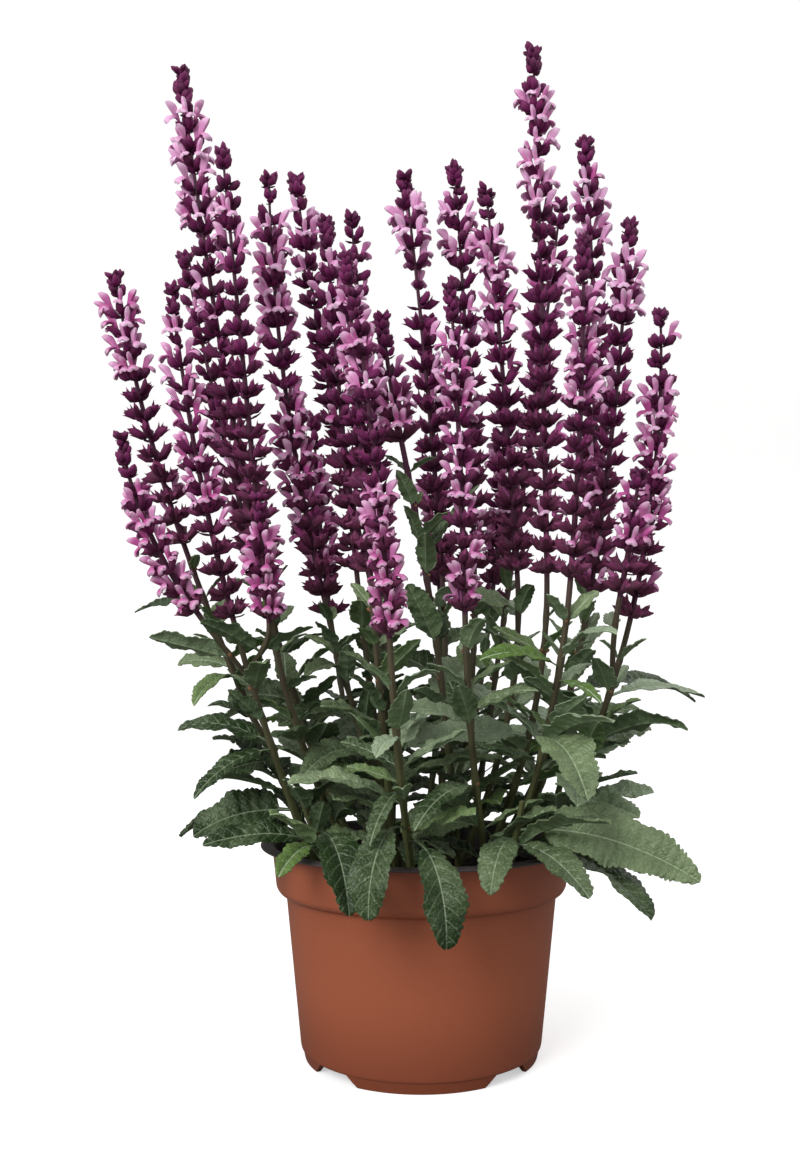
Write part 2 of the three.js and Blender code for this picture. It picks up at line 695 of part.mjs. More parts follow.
function planLeaves() {
  for (const stem of Object.values(stems)) {
    for (let i = 0; i <= 80; i++) {
      addObstacle(stem.curve.getPoint(i / 80), GAP.leafToStem, stem.name, 0);
    }
    for (let i = 0; stem.spike && i <= 60; i++) {
      addObstacle(stem.spike.getPoint(i / 60), GAP.leafToSpike, "spike " + stem.name);
    }
  }
  for (const [name, height, x, y, z, width, bend, tilt] of LEAVES) {
    const stem = stems[name];
    const root = stem.curve.getPoint(atHeight(stem, height));
    const chord = vec(x, y, z).sub(root);
    const azimuth = Math.atan2(chord.y, chord.x);
    const rise = Math.atan2(chord.z, Math.hypot(chord.x, chord.y));
    const roll = tilt * DEG * Math.cos(azimuth);
    placeLeaf(stem, { root, azimuth, rise, length: chord.length(), bend: bend * DEG, width, roll });
  }
  const random = randomFrom(SEED);
  let left = PAIR_LEAVES;
  PAIRS.forEach((pair, level) => {
    for (const stem of Object.values(stems)) {
      const length = stem.start.distanceTo(stem.top);
      if (stem.from || pair.at > length - 12) continue;
      const root = stem.curve.getPoint(pair.at / length);
      const outward = Math.atan2(stem.top.y, stem.top.x) + (level % 2) * 90 * DEG;
      for (const turn of [0, 180]) {
        const azimuth = outward + (turn + lerp(-30, 30, random())) * DEG;
        const rise = (pair.rise + lerp(-8, 8, random())) * DEG;
        const chord = pair.length * lerp(0.85, 1.15, random());
        const roll = lerp(-25, 25, random()) * DEG;
        const wanted = random() < PAIR_CHANCE && left > 0;
        const width = chord * PAIR_WIDTH;
        const leaf = { root, azimuth, rise, length: chord, bend: pair.bend * DEG, width, roll };
        if (wanted && placeLeaf(stem, leaf)) left--;
      }
    }
  });
}

// ---------------------------------------------------------------- flower spikes

// How far up the spike each whorl sits: they crowd together towards the tip.
function whorlPlaces(length) {
  const places = [];
  for (let at = WHORL.first; at < length - WHORL.last; ) {
    places.push(at);
    at += WHORL.spacing * lerp(WHORL.tipSpacing, 1, Math.min(1, (length - at) / WHORL.crowding));
  }
  return places;
}

// One flower spike: a slim axis that swells at each whorl into a ring of pointed calyces.
// A calyx in bloom ends in a two-lipped floret instead of a point.
function spikeSkin(stem, seed) {
  const skin = new Skin();
  const random = randomFrom(SEED + seed);
  const curve = stem.spike;
  const length = stem.top.distanceTo(curve.v2);
  const start = curve.v0.clone().addScaledVector(curve.getTangent(0), CLEARANCE / 2);
  let ring = skin.loop(ringAround(start, curve.getTangent(0), WHORL.axisRadius, WHORL.axisSides));
  skin.fan(skin.point(start), ring, false);
  whorlPlaces(length).forEach((at, index) => {
    const heading = curve.getTangent(at / length);
    const center = curve.getPoint(at / length);
    const [u, v] = across(heading);
    const size = lerp(WHORL.budShare, 1, Math.min(1, (length - at) / WHORL.budZone));
    // A point of the whorl: step counts the calyces round the axis, each whorl half a step on.
    const place = (step, reach, rise, aside = 0) => {
      const angle = ((step + index / 2) * 2 * Math.PI) / WHORL.calyces;
      const out = u.clone().multiplyScalar(Math.cos(angle)).addScaledVector(v, Math.sin(angle));
      const side = heading.clone().cross(out);
      const spot = center.clone().addScaledVector(out, reach).addScaledVector(heading, rise);
      return skin.point(spot.addScaledVector(side, aside));
    };
    const axis = WHORL.axisRadius * lerp(0.6, 1, size);
    const stepsPerSide = WHORL.calyces / WHORL.axisSides;
    const axisRing = (rise) => stepsOf(WHORL.axisSides).map((k) => place(k * stepsPerSide, axis, rise));
    const foot = axisRing(0);
    const collar = axisRing(WHORL.collarRise * size);
    const waist = stepsOf(WHORL.calyces).map((k) =>
      place(k + 0.5, WHORL.waistRadius * size, WHORL.waistRise * size),
    );
    const below = []; // the star-shaped loop of the whorl, as it is joined to the foot
    const above = []; // and to the collar
    waist.forEach((right, k) => {
      const left = waist[(k + WHORL.calyces - 1) % WHORL.calyces];
      const open = stem.blooms.some(([low, high, share]) => {
        return center.z > low && center.z < high && random() < share * WHORL.openShare;
      });
      if (open) {
        const lips = [-1, 1].map((side) => {
          return place(k, WHORL.lipReach, WHORL.lipRise, side * WHORL.lipHalfWidth);
        });
        const hood = place(k, WHORL.hoodReach, WHORL.hoodRise);
        const throat = place(k, WHORL.throatReach, WHORL.throatRise);
        skin.fan(throat, [left, ...lips, right, hood], true);
        below.push([lips[0], k], [lips[1], k]);
        above.push([hood, k]);
      } else {
        const tip = place(k, WHORL.calyxReach * size, WHORL.calyxRise * size);
        below.push([tip, k]);
        above.push([tip, k]);
      }
      below.push([right, k + 0.5]);
      above.push([right, k + 0.5]);
    });
    skin.band(ring, foot);
    skirt(skin, foot, below, false);
    skirt(skin, collar, above, true);
    ring = collar;
  });
  skin.fan(skin.point(curve.v2.clone()), ring, true);
  return skin;
}

// Joins a ring of the axis to a star-shaped loop of [point, step] pairs round it. Each edge of
// the loop is joined to the nearest corner of the ring; the ring lies below the loop, or above.
function skirt(skin, ring, loop, ringAbove) {
  const stepsPerCorner = WHORL.calyces / ring.length;
  const corners = loop.map(([, step], i) => {
    const next = i === loop.length - 1 ? WHORL.calyces : loop[i + 1][1];
    return ring[Math.round((step + next) / 2 / stepsPerCorner) % ring.length];
  });
  loop.forEach(([a], i) => {
    const [b] = loop[(i + 1) % loop.length];
    const before = corners[(i + loop.length - 1) % loop.length];
    const corner = corners[i];
    skin.faces.push(ringAbove ? [a, b, corner] : [corner, b, a]);
    if (before !== corner) skin.faces.push(ringAbove ? [a, corner, before] : [before, corner, a]);
  });
}

// ---------------------------------------------------------------- assembly

planLeaves();

addMesh("pot", geometryOf(potSolid()), MATERIAL.pot);

const standing = Object.values(stems).filter((stem) => !stem.from);
const soil = standing.reduce((ground, stem) => ground.subtract(stemHole(stem)), soilSkin().solid());
addMesh("soil", geometryOf(soil), MATERIAL.soil);

for (const stem of standing) {
  const branches = Object.values(stems).filter((other) => other.from === stem.name);
  const family = [stem, ...branches];
  const names = family.map((member) => member.name);
  const pieces = [
    ...branches.map((branch) => stemSkin(branch)),
    ...leaves.filter((leaf) => names.includes(leaf.stem)).map(leafSkin),
  ];
  const solid = pieces.reduce((sum, piece) => sum.add(piece.solid()), stemSkin(stem).solid());
  addMesh((stem.spike ? "leafy_stem_" : "leafy_shoot_") + stem.name, geometryOf(solid), MATERIAL.leaf);
}

Object.values(stems)
  .filter((stem) => stem.spike)
  .forEach((stem, index) => {
    addMesh("flower_spike_" + stem.name, spikeSkin(stem, index + 1).geometry(), MATERIAL.spike);
  });

export default salvia;
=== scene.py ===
"""A perennial salvia in its grower's pot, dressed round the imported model.

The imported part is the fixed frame: it gives the places and sizes of the pot, the soil, the leafy stems and
the flower spikes. This script grows their fine surfaces in the same places, and sets a plain stage.
The plan of the plant is the part's own, drawn in millimetres. Meshes are in metres.
"""

import json
import math
from types import SimpleNamespace

import bpy
import numpy as np
from bpy.props import FloatProperty, FloatVectorProperty, IntProperty, PointerProperty
from bpy.types import Operator, Panel, PropertyGroup
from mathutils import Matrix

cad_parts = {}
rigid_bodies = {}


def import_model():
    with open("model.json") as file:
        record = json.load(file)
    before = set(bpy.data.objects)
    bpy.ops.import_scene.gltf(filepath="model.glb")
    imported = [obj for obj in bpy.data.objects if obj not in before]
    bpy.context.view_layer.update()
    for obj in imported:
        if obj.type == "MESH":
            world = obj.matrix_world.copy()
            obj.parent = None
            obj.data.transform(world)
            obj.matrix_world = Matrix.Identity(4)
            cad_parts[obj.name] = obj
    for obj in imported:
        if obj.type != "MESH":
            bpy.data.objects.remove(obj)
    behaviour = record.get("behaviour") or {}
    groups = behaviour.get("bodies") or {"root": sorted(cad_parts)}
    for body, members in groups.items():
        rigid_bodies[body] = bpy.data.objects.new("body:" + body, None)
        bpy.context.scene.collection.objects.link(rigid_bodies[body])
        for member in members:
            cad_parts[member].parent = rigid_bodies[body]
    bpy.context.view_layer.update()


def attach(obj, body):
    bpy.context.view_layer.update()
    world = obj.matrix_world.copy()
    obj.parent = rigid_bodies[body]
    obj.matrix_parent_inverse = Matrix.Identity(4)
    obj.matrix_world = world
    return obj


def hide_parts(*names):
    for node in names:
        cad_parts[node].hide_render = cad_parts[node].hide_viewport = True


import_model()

bl_info = {
    "name": "Potted perennial salvia",
    "version": (1, 0, 0),
    "blender": (4, 5, 0),
    "location": "View3D > Sidebar > Salvia",
    "description": "Grows a perennial salvia with its leaves and flower spikes in a grower's pot",
    "category": "Object",
}

MM = 0.001
DEG = math.pi / 180
TURN = 2 * math.pi
# Where each run of random draws starts. A spike adds its own number.
SEED = SimpleNamespace(plan=20261, fill=20262, soil=20261, leaves=20311, spikes=20361)
# Which of its piece's materials a face has, where that isn't the first.
KIND = SimpleNamespace(lining=1, stem=1, stub=2, petal=1, axis=2)

# ---------------------------------------------------------------- the plan, in millimetres

POT = SimpleNamespace(
    wall=1.8, floor_under=7, floor_top=9, foot_inner=66, foot_bottom=68.8, foot_top=70.2,
    foot_height=6.8, notch_height=6.3, body_bottom=71.3, body_top=79.9, shoulder=98.2,
    collar_bottom=85.6, collar_top=88, lip_under=123.6, lip_radius=95, height=126,
    foot_half=30.5, foot_root_half=36, feet=4, drain_radius=5, drain_ring=56,
)
SOIL_TOP = 107
# A stem's colour turns over the height reach above the soil, up to the share high, which its spike keeps.
STEM = SimpleNamespace(bottom_radius=2.0, top_radius=1.5, shoot_sag=6, reach=190, high=1.1)
LEAF = SimpleNamespace(
    petiole_share=0.14, root_half=0.8, petiole_half=1.3, fold=0.22, power=0.65, fullness=0.65,
)
GAP = SimpleNamespace(leaf=7, stem=6.6, spike=16, own_root=0.35)
LEAF_ABOVE = SimpleNamespace(soil=5, lip=3, ground=40)

# Flowering stems: base on the soil, top where the spike begins, tip of the spike, and the spike's bow.
PLAN = {
    "A": ((-34, 6), (-97, 8, 290), (-146, 10, 594), -3),
    "B": ((-34, -20), (-89, -38, 285), (-112, -40, 522), 0),
    "C": ((-56, 0), (-140, -5, 300), (-178, -20, 460), -4),
    "E": ((-58, -24), (-104, -48, 255), (-138, -50, 442), -4),
    "F": ((-44, 32), (-108, 54, 300), (-156, 70, 502), -2),
    "G": ((-8, -4), (-58, 0, 270), (-91, 0, 525), -7),
    "H": ((-24, 24), (-34, 40, 290), (-81, 50, 544), -3),
    "I": ((-16, 10), (-39, 10, 285), (-58, 12, 501), -1),
    "J": ((-18, 42), (-26, 66, 290), (-47, 80, 530), 0),
    "K": ((-4, -56), (-16, -104, 244), (-34, -118, 419), 2),
    "K2": ((-14, -28), (-28, -51, 280), (-41, -60, 457), 0),
    "L": ((22, -14), (-11, -30, 356), (-23, -30, 433), -1),
    "M": ((8, 14), (13, 34, 285), (-11, 40, 542), 2),
    "N": ((16, 32), (34, 48, 290), (21, 60, 555), 2),
    "O": ((22, 6), (58, 10, 285), (39, 10, 520), 1),
    "P": ((34, -10), (71, -35, 280), (63, -35, 581), 1),
    "Q": ((30, 42), (60, 74, 295), (95, 95, 545), 1),
    "R": ((46, -26), (79, -75, 275), (86, -75, 460), 2),
    "S": ((42, 24), (108, 42, 295), (105, 55, 570), 4),
    "T": ((52, 8), (102, 10, 272), (126, 10, 501), 3),
    "U": ((62, -18), (117, -40, 255), (134, -40, 431), 6),
    "V": ((38, -42), (23, -80, 257), (15, -80, 434), 1),
    "W": ((0, 46), (12, 74, 280), (5, 90, 467), 0),
    "X": ((-32, 50), (-62, 100, 262), (-75, 117, 405), -2),
    "Y": ((16, 58), (48, 104, 270), (58, 120, 415), 2),
}
# Flowering branches: the stem that each leaves, the height at which it does, then as above.
BRANCHES = {
    "D": ("E", 222, (-120, -63, 257), (-160, -75, 357), -8),
    "AA": ("E", 228, (-81, -72, 253), (-86, -80, 324), 0),
    "U2": ("U", 220, (107, -65, 267), (116, -75, 338), 1),
}
# Leafy shoots without a spike: base and top.
SHOOTS = {
    "front_left": ((-48, -44), (-66, -58, 162)),
    "front_right": ((44, -60), (54, -72, 158)),
    "right": ((68, 2), (86, 6, 168)),
    "back_left": ((-50, 56), (-62, 78, 182)),
}
# The heights on each spike between which florets are open, and the share of calyces that hold one.
BLOOMS = {
    "A": [(500, 575, 0.6)],
    "B": [(455, 495, 0.5)],
    "C": [(405, 450, 0.9)],
    "E": [(320, 435, 0.45)],
    "G": [(325, 400, 0.5), (418, 502, 0.7)],
    "H": [(500, 536, 0.5)],
    "I": [(440, 480, 0.3)],
    "J": [(470, 514, 0.4)],
    "K": [(253, 322, 0.7), (370, 424, 0.6)],
    "K2": [(390, 430, 0.3)],
    "L": [(365, 428, 0.3)],
    "M": [(466, 516, 0.7)],
    "N": [(492, 540, 0.5)],
    "O": [(430, 488, 0.65)],
    "P": [(490, 563, 0.55)],
    "Q": [(470, 500, 0.3)],
    "R": [(370, 442, 0.75)],
    "S": [(490, 550, 0.5)],
    "T": [(277, 301, 0.4), (439, 489, 0.6)],
    "U": [(312, 392, 0.7)],
    "V": [(255, 293, 0.35), (308, 355, 0.25), (360, 414, 0.7)],
    "W": [(400, 440, 0.3)],
    "X": [(300, 370, 0.4)],
    "Y": [(310, 390, 0.4)],
    "D": [(255, 325, 0.75)],
    "AA": [(252, 314, 0.75)],
    "U2": [(300, 336, 0.6)],
}
# The length of the closed tip on the spikes where it is plain to see.
TIPS = {"A": 46, "B": 24, "G": 22, "I": 34, "M": 26, "N": 34, "P": 28, "S": 38, "V": 36}
# The large leaves: stem, root height, tip x, y, z, width, bend in degrees, and tilt towards -Y.
LEAVES = [
    ("E", 148, -128, -45, 136, 29, 40, 50),
    ("front_right", 142, 145, -78, 115, 36, 45, 55),
    ("K", 136, 12, -122, 92, 25, 120, 0),
    ("K", 143, -10, -113, 95, 24, 130, 0),
    ("front_left", 136, -36, -112, 106, 26, 105, 0),
    ("front_right", 136, 34, -114, 117, 22, 90, 0),
    ("R", 190, 82, -115, 163, 28, 70, 30),
    ("P", 189, -7, -65, 185, 21, 40, 50),
    ("C", 172, -120, -26, 164, 22, 40, 50),
    ("G", 178, -72, -65, 171, 22, 45, 40),
    ("G", 200, -79, -30, 197, 19, 35, 40),
    ("A", 207, -124, 10, 208, 24, 40, 50),
    ("V", 165, -2, -112, 142, 15, 60, 20),
    ("V", 199, -15, -95, 203, 14, 40, 40),
    ("R", 229, 30, -102, 234, 14, 45, 40),
    ("U", 212, 172, 20, 207, 14, 40, 30),
    ("U", 184, 138, 10, 192, 21, 35, 50),
    ("U", 152, 118, -60, 146, 18, 45, 40),
    ("front_right", 134, 88, -104, 113, 22, 60, 20),
    ("front_left", 132, -115, -45, 111, 20, 50, 40),
    ("front_left", 130, -84, -86, 109, 14, 60, 30),
    ("K2", 150, -46, -84, 160, 24, 40, 40),
    ("V", 142, -6, -76, 130, 24, 40, 50),
    ("O", 262, 24, -22, 272, 21, 35, 50),
    ("E", 183, -120, -78, 160, 14, 50, 20),
    ("C", 186, -116, 22, 183, 18, 40, 30),
    ("C", 228, -148, 10, 231, 15, 40, 40),
    ("C", 222, -128, -40, 208, 15, 60, 0),
    ("C", 266, -178, 30, 262, 16, 35, 30),
    ("G", 235, -60, -22, 256, 16, 20, 50),
    ("G", 227, -66, -32, 224, 14, 50, 40),
    ("I", 250, -34, -22, 266, 18, 30, 60),
    ("G", 185, -28, -42, 216, 12, 20, 40),
    ("K", 193, -22, -124, 186, 12, 50, 20),
    ("R", 232, 99, -102, 248, 14, 70, 30),
    ("R", 222, 93, -92, 212, 12, 40, 10),
    ("V", 205, 60, -90, 219, 11, 30, 40),
    ("L", 296, -9, -52, 319, 10, 30, 40),
    ("L", 290, 34, -18, 334, 10, 20, 20),
    ("front_left", 150, -68, -76, 166, 17, 30, 40),
    ("K", 166, -24, -114, 138, 12, 60, 0),
    ("K", 168, -38, -98, 178, 12, 30, 30),
    ("right", 134, 122, -40, 108, 18, 55, 30),
    ("S", 212, 187, 92, 206, 20, 45, 30),
    ("back_left", 150, -92, 136, 150, 24, 50, 0),
    ("Y", 170, 40, 138, 166, 24, 50, 0),
    ("X", 190, -20, 138, 180, 22, 50, 0),
    ("Q", 190, 110, 112, 180, 24, 50, 0),
    ("F", 200, -136, 86, 190, 22, 45, 0),
]
# Leaves in opposite pairs: distance up the stem, chord length, rise and bend in degrees.
PAIRS = [
    (26, 78, 2, 55), (52, 72, 8, 55), (82, 58, 14, 50),
    (116, 44, 24, 40), (152, 34, 34, 35), (190, 26, 42, 30),
]
# How many leaves the pairs give, the chance of each, and how far they vary, in degrees and as shares.
PAIR = SimpleNamespace(
    leaves=35, chance=0.62, below_top=12, swing=30, lift=8, chord=(0.85, 1.15), roll=25, width=0.36,
)
# The smaller leaves that only this script adds: the distance between two pairs up a stem, the gaps they keep,
# and their range. Rise and chord are given at the soil and at the spike.
FILL = SimpleNamespace(
    first=14, step=20, below_top=3, gap=3.2, spike_gap=9, chance=0.9, tries=19, swing=35, rise=(5, 48),
    rise_vary=14, chord=(56, 17), chord_vary=(0.7, 1.2), bend=(5, 55), roll=30, width=(0.36, 0.50),
)
# How the blades vary from one to the next, beside what a user may change.
BLADE = SimpleNamespace(
    three_rows=34,  # the leaf length from which a scallop has three rows of points
    step=(0.6, 1.4),  # lengths of its scallops, each against their mean
    scallop=(0.4, 1.5),  # how far they stand out, each against the setting
    blunt=(0.15, 0.75),  # how much wider it is at the tip than the plan's
    spoon_from=0.2,  # where a spoon's wide part starts, as a share of the blade
    spoon_half=0.44,  # half a spoon's width, as a share of the leaf's
    taper=(-0.12, 0.16),  # how much wider it is towards the tip than towards its foot
    wave=0.045,  # how far its width waves, and how often
    wave_turns=3.4,
    slant=0.7,  # how steeply its side veins run forward, and how much more so at the edge
    slant_more=0.35,
    groove=0.2,  # half width of a vein's groove, as a share of the veins' spacing
    rib=1.1,  # half width of the midrib's groove
    fold=(0.4, 1.3),  # how deep its fold is, against the plan's
    lift=0.06,  # how far the tip is lifted or drops, as a share of the length
    twist=14,  # how far it twists from root to tip, in degrees
)
# The tone of leaves: the lightest of a grown one, and the range, share and longest leaf of young ones.
GROWN = 0.74
YOUNG = SimpleNamespace(tone=(0.75, 1.0), share=0.22, longest=56)
# How the whorls vary along and between spikes.
WHORL = SimpleNamespace(
    size=(0.92, 1.22), depth=450,  # the smallest and the largest, and how far back one is a whole size larger
    zone=(0.55, 1.15), slack=(0.8, 1.25),  # the bud zone's length and the steps in it, against the settings
    tip_slack=0.85,  # the steps in a bud zone whose length is given
    narrowing=(1.08, 0.98),  # size at the spike's foot and at its tip
    turn=0.12,  # how unevenly they turn
)
# How far the parts of a whorl stray from their places, in degrees, radians round the axis and shares of size.
CALYX = SimpleNamespace(
    jitter=0.09, size=(0.86, 1.1), tilt=8, roll=0.25, shift=1.3, closed=0.85, aged=0.6, aged_spread=0.12,
)
BRACT = SimpleNamespace(
    jitter=0.05, size=(0.8, 1.15), tilt=(-4, 8), roll=0.1, narrowing=(1.15, 0.85), drop=1.2,
)
# Florets: the height of one's middle above its whorl, their sizes, their tones from the height low on over a
# span, how those spread, and how much deeper a young one's is.
FLORET = SimpleNamespace(
    lift=9, size=(0.78, 1.02), tone=(0.22, 0.68), low=280, span=220, spread=0.26, young=0.3,
)


def lerp(a, b, t):
    """The value at the share t of the way from a to b."""
    return a + (b - a) * t


def unit(v):
    """Vectors at length one."""
    return v / np.linalg.norm(v, axis=-1, keepdims=True)


def random_from(seed):
    """A seeded source of numbers from 0 to 1, as the part's: a 32-bit counter that is stirred twice."""
    mask = 0xFFFFFFFF
    state = seed & mask

    def draw():
        nonlocal state
        state = (state + 0x6D2B79F5) & mask
        t = (state ^ (state >> 15)) * (state | 1) & mask
        t ^= (t + (t ^ (t >> 7)) * (t | 61)) & mask
        return (t ^ (t >> 14)) / (mask + 1)

    return draw


def vary(random, reach):
    """A random number from -reach to reach."""
    return lerp(-reach, reach, random())


def shares(count):
    """Even shares of a way: 0, 1/count, 2/count, and so on to 1."""
    return np.arange(count + 1) / count


def on_curve(curve, t):
    """Points of a quadratic Bezier curve: its three points weighted by (1-t)^2, 2t(1-t) and t^2."""
    t = np.asarray(t, float)[..., None]
    return (1 - t) ** 2 * curve[0] + 2 * t * (1 - t) * curve[1] + t**2 * curve[2]


def heading_on(curve, t):
    """The curve's unit tangents: its two legs weighted by 1-t and t."""
    t = np.asarray(t, float)[..., None]
    return unit((1 - t) * (curve[1] - curve[0]) + t * (curve[2] - curve[1]))


def across(heading):
    """Two unit directions square to a heading: the second is heading x X, the first second x heading."""
    second = unit(np.cross(heading, [1.0, 0.0, 0.0]))
    return unit(np.cross(second, heading)), second


def make_stem(name, start, top, tip=None, bow=0, parent=None):
    """A stem's own curve and its spike's. The spike's middle is pulled sideways by twice its bow, and the
    stem meets it smoothly."""
    start, top = np.array(start, float), np.array(top, float)
    stem = SimpleNamespace(name=name, start=start, top=top, parent=parent, spike=None)
    if tip is None:
        stem.curve = np.array([start, (start + top) / 2 - [0, 0, STEM.shoot_sag], top])
        return stem
    tip = np.array(tip, float)
    middle = (top + tip) / 2 + [2 * bow, 0, 0]
    stem.spike = np.array([top, middle, tip])
    heading = unit(middle - top)
    stem.curve = np.array([start, top - heading * 0.5 * (top[2] - start[2]), top])
    return stem


def at_height(stem, height):
    """The share of the way along a stem at which it reaches a height, found by halving the stretch."""
    low, high = 0.0, 1.0
    for _ in range(30):
        middle = (low + high) / 2
        if on_curve(stem.curve, middle)[2] < height:
            low = middle
        else:
            high = middle
    return (low + high) / 2


def plan_stems():
    """Every stem by name: the flowering stems, the leafy shoots and the flowering branches, in that order."""
    stems = {}
    for name, (base, top, tip, bow) in PLAN.items():
        stems[name] = make_stem(name, (*base, SOIL_TOP), top, tip, bow)
    for name, (base, top) in SHOOTS.items():
        stems[name] = make_stem(name, (*base, SOIL_TOP), top)
    for name, (parent, at, top, tip, bow) in BRANCHES.items():
        start = on_curve(stems[parent].curve, at_height(stems[parent], at))
        stems[name] = make_stem(name, start, top, tip, bow, parent)
    return stems


def half_width(leaf, s):
    """Half a leaf's width at shares s of its length: a narrow stalk, then a blade whose half width is
    w/2 * sin(pi * u^0.65)^0.65, where u runs from 0 to 1 along the blade."""
    u = (s - LEAF.petiole_share) / (1 - LEAF.petiole_share)
    stalk = lerp(LEAF.root_half, LEAF.petiole_half, s / LEAF.petiole_share)
    shape = np.maximum(np.sin(math.pi * np.clip(u, 0, 1) ** LEAF.power), 0)
    blade = np.maximum(leaf.width / 2 * shape**LEAF.fullness, LEAF.petiole_half * (1 - u))
    return np.where(u <= 0, stalk, blade)


def leaf_frame(leaf, s, roll):
    """A leaf's midrib and its sideways and upward directions at shares s of its length. The midrib is an arc
    in an upright plane: its slope falls evenly from rise + bend/2 to rise - bend/2."""
    first = leaf.rise + leaf.bend / 2
    slope = first - leaf.bend * s
    radius = leaf.length / 2 / math.sin(leaf.bend / 2)
    out = radius * (math.sin(first) - np.sin(slope))
    up = radius * (np.cos(slope) - math.cos(first))
    ca, sa = math.cos(leaf.azimuth), math.sin(leaf.azimuth)
    middle = leaf.root + np.stack([ca * out, sa * out, up], -1)
    level = np.array([-sa, ca, 0.0])
    upright = np.stack([-np.sin(slope) * ca, -np.sin(slope) * sa, np.cos(slope)], -1)
    cr, sr = np.cos(roll)[..., None], np.sin(roll)[..., None]
    return middle, level * cr + upright * sr, upright * cr - level * sr


def leaf_samples(leaf):
    """Points spread over a leaf past its root, and the share of its length at which each lies."""
    rows, side = 12, np.array([-1, -0.5, 0, 0.5, 1])
    s = np.repeat(lerp(0.15, 1, shares(rows - 1)), len(side))
    middle, sideways, normal = leaf_frame(leaf, s, np.full(len(s), leaf.roll))
    width = half_width(leaf, s) * np.tile(side, rows)
    return middle + sideways * width[:, None] + normal * (LEAF.fold * abs(width))[:, None], s


def clear_of_pot(points):
    """True where no point meets the pot's wall or lip, or the soil."""
    r, z = np.hypot(points[:, 0], points[:, 1]), points[:, 2]
    inner = z > SOIL_TOP + LEAF_ABOVE.soil
    lip = z > POT.height + LEAF_ABOVE.lip
    outer = z > LEAF_ABOVE.ground
    within = np.where(r < POT.lip_radius + LEAF_ABOVE.lip, lip, outer)
    return np.where(r < POT.collar_bottom - POT.wall, inner, within).all()


class Obstacles:
    """Points that new leaves keep off: place, the gap to keep, the owner's number, and the share of a leaf's
    length at which the point lies, since a leaf's root may come near its own stem."""

    def __init__(self):
        self.rows = np.zeros((0, 6))

    def add(self, points, gap, owner, s):
        """Adds points of one owner."""
        rule = np.full((len(points), 2), (gap, owner))
        self.rows = np.vstack([self.rows, np.column_stack([points, rule, np.broadcast_to(s, len(points))])])

    def near(self, leaf):
        """The obstacles that a leaf could reach, however it is swung about its root."""
        reach = leaf.length + leaf.width + GAP.spike
        return self.rows[((self.rows[:, :3] - leaf.root) ** 2).sum(1) < reach**2]


def is_clear(points, s, near, owner):
    """True if no point lies within an obstacle's gap, apart from those by the leaf's own root. A squared
    distance is |p|^2 + |q|^2 - 2 p.q."""
    place, gap = near[:, :3], near[:, 3]
    apart = (points**2).sum(1)[:, None] - 2 * points @ place.T > gap**2 - (place**2).sum(1)
    own = (near[:, 4] == owner) & ((near[:, 5] < GAP.own_root) | (s < GAP.own_root)[:, None])
    return (apart | own).all()


def bends(count):
    """Swings and lifts in degrees by which a leaf is bent clear, in turn: the first count of them, or all."""
    steps = [(0, 0)]
    for k in range(1, 6):
        steps += [(0, 6 * k), (7 * k, 0), (-7 * k, 0), (0, -5 * k), (6 * k, 5 * k), (-6 * k, 5 * k)]
    return steps[:count]


def place_leaf(leaf, owner, obstacles, gap, tries):
    """Bends a leaf clear of what is there, and returns it, or None if no try clears it."""
    near = obstacles.near(leaf)
    azimuth, rise = leaf.azimuth, leaf.rise
    for swing, lift in bends(tries):
        leaf.azimuth, leaf.rise = azimuth + swing * DEG, rise + lift * DEG
        points, s = leaf_samples(leaf)
        if clear_of_pot(points) and is_clear(points, s, near, owner):
            obstacles.add(points, gap, owner, s)
            return leaf
    return None


def plan_leaves(stems):
    """The part's leaves, placed by the part's own rule, then the smaller ones that fill the plant."""
    obstacles = Obstacles()
    number = {name: i for i, name in enumerate(stems)}
    for name, stem in stems.items():
        obstacles.add(on_curve(stem.curve, shares(80)), GAP.stem, number[name], 0)
        if stem.spike is not None:
            obstacles.add(on_curve(stem.spike, shares(60)), GAP.spike, -1 - number[name], 1)
    leaves = []

    def keep(leaf, gap=GAP.leaf, tries=None):
        """Places a leaf if it can be, and says whether it was."""
        placed = place_leaf(leaf, number[leaf.stem], obstacles, gap, tries)
        if placed:
            leaves.append(placed)
        return placed is not None

    for name, height, x, y, z, width, bend, tilt in LEAVES:
        root = on_curve(stems[name].curve, at_height(stems[name], height))
        chord = np.array([x, y, z]) - root
        azimuth = math.atan2(chord[1], chord[0])
        keep(SimpleNamespace(
            stem=name, root=root, azimuth=azimuth, rise=math.atan2(chord[2], math.hypot(chord[0], chord[1])),
            length=float(np.linalg.norm(chord)), bend=bend * DEG, width=width,
            roll=tilt * DEG * math.cos(azimuth),
        ))
    pair_leaves(stems, keep)
    fill_leaves(stems, obstacles, keep)
    return leaves


def pair_leaves(stems, keep):
    """The part's own pairs: on each level every stem that is long enough has two opposite leaves, turned a
    quarter from the level below, until the plan's number is reached."""
    random = random_from(SEED.plan)
    left = PAIR.leaves
    for level, (at, length, rise, bend) in enumerate(PAIRS):
        for name, stem in stems.items():
            whole = float(np.linalg.norm(stem.top - stem.start))
            if stem.parent or at > whole - PAIR.below_top:
                continue
            outward = math.atan2(stem.top[1], stem.top[0]) + (level % 2) * 90 * DEG
            for turn in (0, 180):
                azimuth = outward + (turn + vary(random, PAIR.swing)) * DEG
                lift = (rise + vary(random, PAIR.lift)) * DEG
                chord = length * lerp(*PAIR.chord, random())
                roll = vary(random, PAIR.roll) * DEG
                wanted = random() < PAIR.chance and left > 0
                if wanted and keep(SimpleNamespace(
                    stem=name, root=on_curve(stem.curve, at / whole), azimuth=azimuth, rise=lift,
                    length=chord, bend=bend * DEG, width=chord * PAIR.width, roll=roll,
                )):
                    left -= 1


